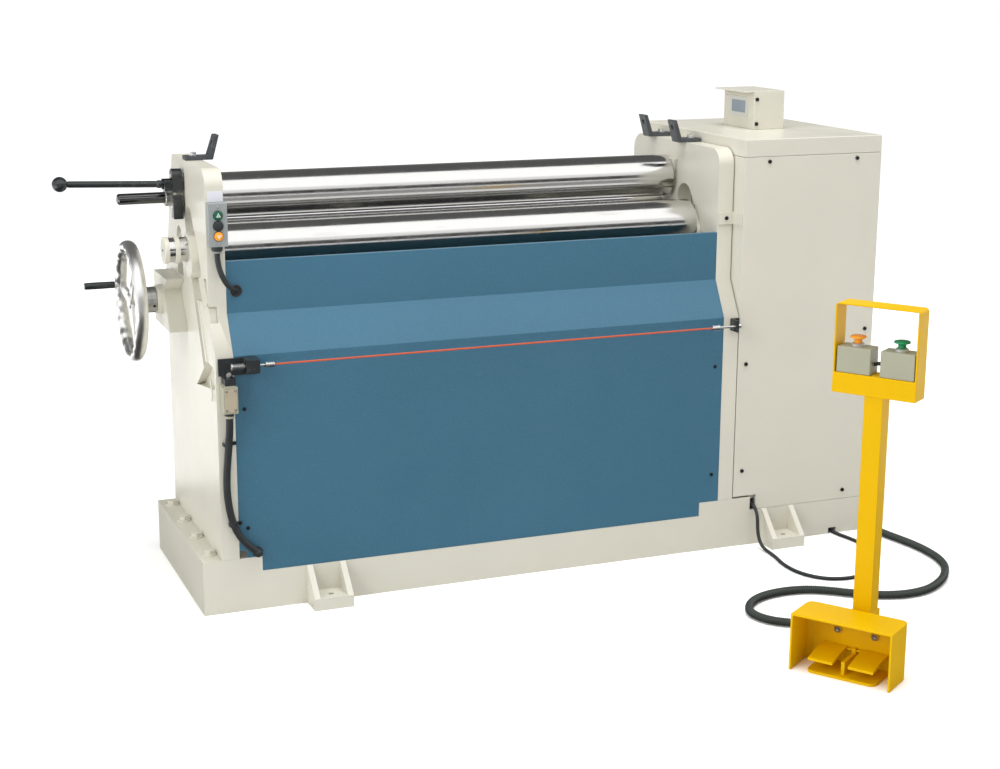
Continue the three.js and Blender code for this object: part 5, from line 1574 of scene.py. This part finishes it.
@dataclass
class PushButtons:
    """The push button box on the left frame with its caps and signs."""

    x: float = -0.6555
    face: float = -0.2373
    crown: float = 0.0012
    label_face: float = -0.2143
    rows: Sequence[tuple[str, float, float, Finish, Slot]] = (
        ("up_button", 0.9405, 0.0102, GREEN, Slot.GREEN),
        ("stop_button", 0.9167, 0.0112, PLASTIC, Slot.PLASTIC),
        ("down_button", 0.8934, 0.0102, ORANGE, Slot.ORANGE),
    )

    def build(self) -> None:
        """Dresses the box and makes caps, signs, screws and the blank plate above."""
        Bench.refinished("button_box", 0.0016, Slot.GREY, GREY, 3)
        for row in self.rows:
            self._cap(*row)
        self._sign("up_sign", 0.9405, 1, "up_button")
        self._sign("down_sign", 0.8934, -1, "down_button")
        seats = [Seat((self.x, self.face, z), FRONT) for z in (0.9600, 0.8765)]
        Fastener("box_screw", ZINC, Slot.DARK, 0.0027, 0.0014).fit(seats)
        nut = [
            (0.0004, 0.0), (0.0004, 0.0128), (0.0094, 0.0126), (0.0098, 0.0104), (0.0152, 0.0092),
            (0.0152, 0.0),
        ]
        gland = Bench.turned("box_gland_nut", nut, (-0.6575, -0.2258, 0.8688), DOWN, 12, 25)
        Bench.mount(gland, "machine", Slot.RUBBER, RUBBER)
        self._plate()

    def _cap(self, node: str, height: float, radius: float, finish: Finish, slot: Slot) -> None:
        """A crowned cap in a thin black surround."""
        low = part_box(node)[0].y
        start = (self.x, 0.0, height)
        crown = self.crown
        back = self.face + 0.0100
        profile = [
            (low, 0.0), (low + crown * 0.3, radius * 0.6), (low + crown, radius * 0.9),
            (low + crown + 0.0012, radius), (back, radius), (back, 0.0),
        ]
        cap = Bench.turned(f"{node}_cap", profile, start, Axis.Y.vector, 40, 50)
        Bench.mount(cap, node, slot, finish, [node])
        inner = radius + 0.0003
        ring = [
            (self.face + 0.0003, inner), (self.face - 0.0010, inner), (self.face - 0.0010, radius + 0.0010),
            (self.face + 0.0003, radius + 0.0013), (self.face + 0.0003, inner),
        ]
        bezel = Bench.turned(f"{node}_ring", ring, start, Axis.Y.vector, 40, 30)
        Bench.mount(bezel, "machine", Slot.PLASTIC, PLASTIC)

    def _sign(self, name: str, height: float, way: int, node: str) -> None:
        """A hollow triangle standing a little proud of its cap."""
        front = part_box(node)[0].y

        def corners(size: float) -> list[Vector]:
            """The triangle's corners at a size."""
            places = [(-0.87 * size, -0.5 * size), (0.87 * size, -0.5 * size), (0.0, size)]
            return [Vector((self.x + x, front - 0.00015, height + way * z)) for x, z in places]

        sign = Bench.prism(name, corners(0.0060), Vector((0, 0.0012, 0)))
        inner = [point - Vector((0, 0.002, 0)) for point in corners(0.0028)]
        hole = Bench.prism(f"{name}_hole", inner, Vector((0, 0.006, 0)))
        Bench.carve(sign, [hole])
        Bench.mount(Bench.smooth(sign, 30), node, Slot.PLASTIC, WHITE)

    def _plate(self) -> None:
        """A blank pale plate above the box."""
        face = self.label_face
        low, high = (-0.6740, face - 0.0008, 0.9690), (-0.6385, face + 0.0003, 0.9925)
        plate = Bench.block("blank_plate", low, high, 0.0003)
        Bench.mount(plate, "machine", Slot.GREY, LABEL)


@dataclass
class TripGuard:
    """The trip wire with its spring, clamps, brackets and limit switch."""

    y: float = -0.295
    z: float = 0.601
    sleeve_radius: float = 0.0022
    rod_radius: float = 0.0030
    clamp_radius: float = 0.0072
    clamp_root: float = 0.0062
    conduit_back: float = -0.2650
    plate_depth: float = 0.0016

    def build(self) -> None:
        """Dresses the brackets and the switch and makes the wire."""
        for node in ("trip_bracket", "wire_anchor"):
            Bench.refinished(node, 0.0010, Slot.BLACK, BLACKED)
        self._wire()
        self._spring()
        self._switch()

    def _bar(self, name: str, profile: Profile, nodes: Sequence[str] = ()) -> None:
        """A turned piece on the wire's axis that moves with the wire.

        Args:
            name: The piece's name.
            profile: Pairs of place along the wire and radius.
            nodes: The CAD nodes that it replaces, which only the sleeve does.
        """
        steps = 6 if name.endswith("nut") else 24
        finish, slot = (SLEEVE, Slot.SLEEVE) if nodes else (ZINC, Slot.DARK)
        start = (0.0, self.y, self.z)
        piece = Bench.turned(name, profile, start, Axis.X.vector, steps, 32)
        Bench.mount(piece, "trip_wire", slot, finish, nodes)

    def _wire(self) -> None:
        """The sleeved wire, its bright rods, clamps, head and nut."""
        thin, thick = self.sleeve_radius, self.rod_radius
        sleeve = [(-0.5500, 0.0), (-0.5500, thin), (0.5870, thin), (0.5870, 0.0)]
        self._bar("trip_sleeve", sleeve, ["trip_wire"])
        head = [(-0.6506, 0), (-0.6506, 0.0075), (-0.6500, 0.0085), (-0.6476, 0.0085), (-0.6476, 0)]
        self._bar("wire_head", head)
        for name, left, right in (("left_rod", -0.6480, -0.5700), ("right_rod", 0.6070, 0.6690)):
            rod = [(left, 0), (left, 0.0025), (left + 0.0008, thick), (right - 0.0008, thick)]
            self._bar(name, rod + [(right, 0.0025), (right, 0)])
        outer, root = self.clamp_radius, self.clamp_root
        for name, left in (("left_clamp", -0.5710), ("right_clamp", 0.5860)):
            clamp = [(left, 0.0), (left, root), (left + 0.0010, outer)]
            for step in range(3):
                at = left + 0.0050 + step * 0.0055
                clamp += [(at, outer), (at + 0.0006, root), (at + 0.0018, root), (at + 0.0024, outer)]
            clamp += [(left + 0.0210, outer), (left + 0.0220, root), (left + 0.0220, 0.0)]
            self._bar(name, clamp)
        nut = [(0.6600, 0), (0.6600, 0.0055), (0.6660, 0.0055), (0.6690, 0.0050), (0.6690, 0)]
        self._bar("wire_end_nut", nut)

    def _spring(self) -> None:
        """A wound spring between the wire's head and the guide block."""
        low, high = -0.6474, -0.6172
        radius, wire, turns = 0.0065, 0.00105, 8
        Bench.clear()
        bpy.ops.mesh.primitive_circle_add(
            radius=wire, vertices=10, rotation=(math.pi / 2, 0, 0), location=(wire, 0, radius)
        )
        spring = Bench.named("return_spring")
        screw = spring.modifiers.new("winding", "SCREW")
        screw.axis = "X"
        screw.angle = math.tau
        screw.iterations = turns
        screw.screw_offset = (high - low - 2 * wire) / turns
        screw.steps = 20
        screw.render_steps = 20
        screw.use_merge_vertices = True
        Bench.apply(spring)
        Bench.only(spring)
        bpy.ops.object.mode_set(mode="EDIT")
        bpy.ops.mesh.select_all(action="SELECT")
        bpy.ops.mesh.fill_holes(sides=0)
        bpy.ops.mesh.normals_make_consistent(inside=False)
        bpy.ops.object.mode_set(mode="OBJECT")
        spring.data.transform(Matrix.Translation((low, self.y, self.z)))
        spring.data.materials.append(SPRING.material())
        bpy.ops.object.shade_smooth_by_angle(angle=math.radians(50))
        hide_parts("trip_spring")
        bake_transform(spring)
        LOG.info("%s blends from trip_wire to machine", spring.name)

    def _switch(self) -> None:
        """The limit switch with its plate, head, screws and plunger, and its conduit's fittings."""
        Bench.refinished("limit_switch", 0.0014, Slot.GREY, GREEN_GREY, 3)
        low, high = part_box("limit_switch")
        left, right, front = low.x + 0.003, high.x - 0.003, low.y - self.plate_depth
        plate = Bench.block("switch_plate", (left, front, 0.4985), (right, low.y + 0.0005, 0.5525), 0.0008)
        Bench.mount(plate, "machine", Slot.GREY, SWITCH_PLATE)
        self._switch_head(low, high)
        Fastener("switch_screw", ZINC, Slot.DARK, 0.0026, 0.0012).fit([
            Seat((x, front, z), FRONT) for z in (0.548, 0.503) for x in (low.x + 0.007, high.x - 0.007)
        ])
        pivot = Seat((-0.6590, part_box("trip_bracket")[0].y, 0.5880), FRONT)
        Fastener("bracket_pivot", ZINC, Slot.DARK, 0.0052, 0.0022).fit([pivot])
        Bench.refinished("switch_plunger", 0.0004, Slot.DARK, ZINC)
        nut = [
            (0.0004, 0.0), (0.0004, 0.0114), (0.0080, 0.0114), (0.0082, 0.0098), (0.0134, 0.0096),
            (0.0134, 0.0),
        ]
        gland = Bench.turned("switch_gland_nut", nut, (-0.655, -0.2853, 0.4938), DOWN, 12, 25)
        Bench.mount(gland, "machine", Slot.PLASTIC, PLASTIC)
        self._socket()
        for name, spot in (("upper_clip", (-0.6590, 0.4145)), ("lower_clip", (-0.6510, 0.2200))):
            self._clip(name, *spot)

    @staticmethod
    def _switch_head(low: Vector, high: Vector) -> None:
        """The black block on top of the switch, bored for the plunger."""
        middle = (low + high) / 2
        reach = 0.0125
        near = (middle.x - reach, low.y - 0.0006, 0.5602)
        far = (middle.x + reach, high.y - 0.003, high.z + 0.0004)
        head = Bench.block("switch_head", near, far, 0.0006)
        bore = [(0.0, 0.0), (0.0, 0.0052), (0.0400, 0.0052), (0.0400, 0.0)]
        drill = Bench.turned("plunger_bore", bore, (middle.x, middle.y, 0.5500), Axis.Z.vector, 24)
        Bench.mount(Bench.smooth(Bench.carve(head, [drill]), 30), "machine", Slot.BLACK, BLACKED)

    @staticmethod
    def _socket() -> None:
        """The rubber socket where the conduit enters the frame."""
        socket = [
            (-0.2646, 0.0), (-0.2646, 0.0125), (-0.2672, 0.0125), (-0.2676, 0.0104), (-0.2780, 0.0104),
            (-0.2815, 0.0088), (-0.2838, 0.0055), (-0.2846, 0.0),
        ]
        x, _, z = SWITCH_ROUTE.points[-1]
        start = (x + 0.003, 0.0, z - 0.003)
        piece = Bench.turned("conduit_socket", socket, start, Axis.Y.vector, 32, 40)
        Bench.mount(piece, "machine", Slot.RUBBER, RUBBER)

    def _clip(self, name: str, x: float, z: float) -> None:
        """A black saddle clip that holds the conduit to the frame."""
        back, half, bend = self.conduit_back, 0.004, 8

        def arch(reach: float, rise: float) -> list[Vector]:
            """One edge of the saddle, from foot to foot."""
            turns = [math.pi * step / bend for step in range(bend + 1)]
            places = [(reach, -0.0005)]
            places += [(reach * math.cos(a), -0.0105 - rise * math.sin(a)) for a in turns]
            places += [(-reach, -0.0005)]
            return [Vector((x + across, back + out, z - half)) for across, out in places]

        outline = arch(0.0105, 0.0092) + arch(0.0090, 0.0077)[::-1]
        clip = Bench.prism(name, outline, Vector((0, 0, 2 * half)))
        near, far = (x + 0.0088, back - 0.0020, z - half), (x + 0.0225, back - 0.0004, z + half)
        tab = Bench.block(f"{name}_tab", near, far, 0.0003)
        piece = Bench.smooth(Bench.carve(clip, [tab], "UNION"), 30)
        Bench.mount(piece, "machine", Slot.PLASTIC, PLASTIC)
        seat = Seat((x + 0.0165, back - 0.0020, z), FRONT)
        Fastener(f"{name}_screw", DARK_HEAD, Slot.DARK, 0.0044, 0.0022).fit([seat])


@dataclass
class WorkStops:
    """The three bent work stops on the frame tops, each with its bright bolt."""

    bolts: Sequence[tuple[str, float, float]] = (
        ("work_stop_left", -0.657, -0.002), ("work_stop_front_right", 0.657, -0.016),
        ("work_stop_rear_right", 0.657, 0.153),
    )
    top: float = 1.0523
    washer: float = 0.0105

    def build(self) -> None:
        """Dresses the stops and caps their bolts."""
        low, high = self.top - 0.0002, self.top + 0.0012
        profile = [(low, 0.0), (low, self.washer), (high, self.washer), (high, 0.0)]
        for node, x, y in self.bolts:
            Bench.refinished(node, 0.0014, Slot.BLACK, STOP_IRON, 3)
            piece = Bench.turned(f"{node}_washer", profile, (x, y, 0.0), Axis.Z.vector, 32, 30)
            Bench.mount(piece, "machine", Slot.DARK, ZINC)
        seats = [Seat((x, y, self.top), UP) for _, x, y in self.bolts]
        Fastener("stop_bolt", ZINC, Slot.DARK, 0.0086, 0.0075, True).fit(seats)


@dataclass
class Station:
    """The pedal and palm button station that stands by itself on the floor."""

    origin: tuple[float, float] = (0.498, -1.108)
    turn: float = -55.5
    frame_half: float = 0.094
    frame_top: float = 0.802
    corner: float = 0.010
    palms: Sequence[tuple[str, Finish, Slot]] = (
        ("palm_button_left", ORANGE, Slot.ORANGE), ("palm_button_right", BRIGHT_GREEN, Slot.GREEN),
    )
    bolt_x: float = 0.043

    def place(self, x: float, y: float, z: float) -> Point:
        """A point of the station in the row frame."""
        angle = math.radians(self.turn)
        cos, sin = math.cos(angle), math.sin(angle)
        return (self.origin[0] + x * cos - y * sin, self.origin[1] + x * sin + y * cos, z)

    def way(self, x: float, y: float, z: float) -> Vector:
        """A direction of the station in the row frame."""
        return Matrix.Rotation(math.radians(self.turn), 3, "Z") @ Vector((x, y, z))

    def build(self) -> None:
        """Dresses the steel parts and makes the caps, the bolts and the lead."""
        for node, edge in (("pedal_hood", 0.0016), ("station_post", 0.0016), ("pedal_base", 0.0010)):
            piece = Bench.dressed(node, edge, 3)
            if node == "station_post":
                Bench.carve(piece, [self._corner(-1), self._corner(1)])
                Bench.smooth(piece, 30)
            Bench.mount(piece, "machine", Slot.YELLOW, YELLOW, [node])
        for side in ("left", "right"):
            Bench.refinished(f"button_unit_{side}", 0.0022, Slot.GREY, GREEN_GREY, 3)
        for side in ("left", "right"):
            Bench.refinished(f"pedal_{side}", 0.0012, Slot.YELLOW, YELLOW, 3)
        for palm in self.palms:
            self._palm(*palm)
        seats = [Seat(self.place(x, 0.0440, 0.080), self.way(0, -1, 0)) for x in (-self.bolt_x, self.bolt_x)]
        Fastener("hood_bolt", ZINC, Slot.DARK, 0.0080, 0.0060).fit(seats)
        self._jumper()

    def _corner(self, side: int) -> Piece:
        """The waste outside a rolled upper corner of the post's frame."""
        half, top, radius = self.frame_half, self.frame_top, self.corner
        spare, bend = 0.004, 12
        outline = [
            (half + spare, top - radius), (half + spare, top + spare), (half - radius, top + spare),
        ]
        for step in range(bend, -1, -1):
            angle = math.pi / 2 * step / bend
            across, up = radius * math.cos(angle), radius * math.sin(angle)
            outline.append((half - radius + across, top - radius + up))
        points = [Vector(self.place(side * x, -0.010, z)) for x, z in outline]
        return Bench.prism(f"corner_waste_{side + 1}", points, self.way(0, 0.180, 0))

    @staticmethod
    def _palm(node: str, finish: Finish, slot: Slot) -> None:
        """A mushroom cap on its stem, over a pale ring."""
        low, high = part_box(node)
        middle = (low + high) / 2
        radius = (high.x - low.x) / 2
        top = high.z
        under = top - 0.0105
        stem = 0.0086
        profile = [
            (low.z, 0.0), (low.z, stem), (under + 0.0022, stem), (under + 0.0034, stem + 0.0016),
            (top - 0.0056, radius * 0.88), (top - 0.0048, radius * 0.99), (top - 0.0026, radius),
            (top - 0.0012, radius * 0.96), (top - 0.0004, radius * 0.80),
            (top, radius * 0.4), (top, 0.0),
        ]
        start = (middle.x, middle.y, 0.0)
        cap = Bench.turned(f"{node}_cap", profile, start, Axis.Z.vector, 48, 45)
        Bench.mount(cap, node, slot, finish, [node])
        foot = under - 0.0058
        ring = [
            (foot - 0.0075, 0.0092), (foot - 0.0075, 0.0152), (foot - 0.0048, 0.0158),
            (foot - 0.0020, 0.0150), (foot, 0.0122), (foot, 0.0092), (foot - 0.0075, 0.0092),
        ]
        piece = Bench.turned(f"{node}_ring", ring, start, Axis.Z.vector, 48, 35)
        Bench.mount(piece, "machine", Slot.GREY, PALM_RING)

    def _jumper(self) -> None:
        """The short black lead between the two button units."""
        middle, low, high = 0.088, 0.672, 0.6745
        heights = ((-0.0170, low), (-0.0100, low), (0.0, high), (0.0100, low), (0.0170, low))
        line = Route([self.place(x, middle, z) for x, z in heights])
        lead = Bench.tube("unit_jumper", line.sampled(6), 0.0042, 3)
        Bench.only(lead)
        bpy.ops.object.convert(target="MESH")
        Bench.mount(Bench.smooth(bpy.context.object, 50), "machine", Slot.RUBBER, RUBBER)


@dataclass
class Drive:
    """The gearmotor, chain and sprockets inside the cabinet, and the hose's elbow."""

    edge: float = 0.0010
    parts: Sequence[tuple[str, Slot, Finish]] = (
        ("gearmotor", Slot.GREY, GREY), ("drive_chain", Slot.DARK, BLACKED),
        ("top_roll_sprocket", Slot.DARK, BLACKED), ("motor_sprocket", Slot.DARK, BLACKED),
        ("hose_elbow", Slot.PLASTIC, PLASTIC),
    )

    def build(self) -> None:
        """Dresses what is left of the CAD nodes."""
        for node, slot, finish in self.parts:
            Bench.refinished(node, self.edge, slot, finish)


def paint_hidden_nodes() -> None:
    """Gives every CAD node a procedural material, so that none shows bare."""
    for node in frame["nodes"].values():
        node.data.materials.clear()
        node.data.materials.append(CREAM.material())


def main() -> None:
    """Builds the scene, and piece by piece."""
    logging.basicConfig(level=logging.INFO, format="%(message)s")
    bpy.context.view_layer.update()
    paint_hidden_nodes()
    for part in (
        Studio(), Cords(), Frames(), Covers(), Cabinet(), Rolls(), Wheel(), Lock(), PushButtons(),
        TripGuard(), WorkStops(), Station(), Drive(),
    ):
        part.build()
        LOG.info("%s is in place", type(part).__name__)
    Bench.clear()


if __name__ == "__main__":
    main()
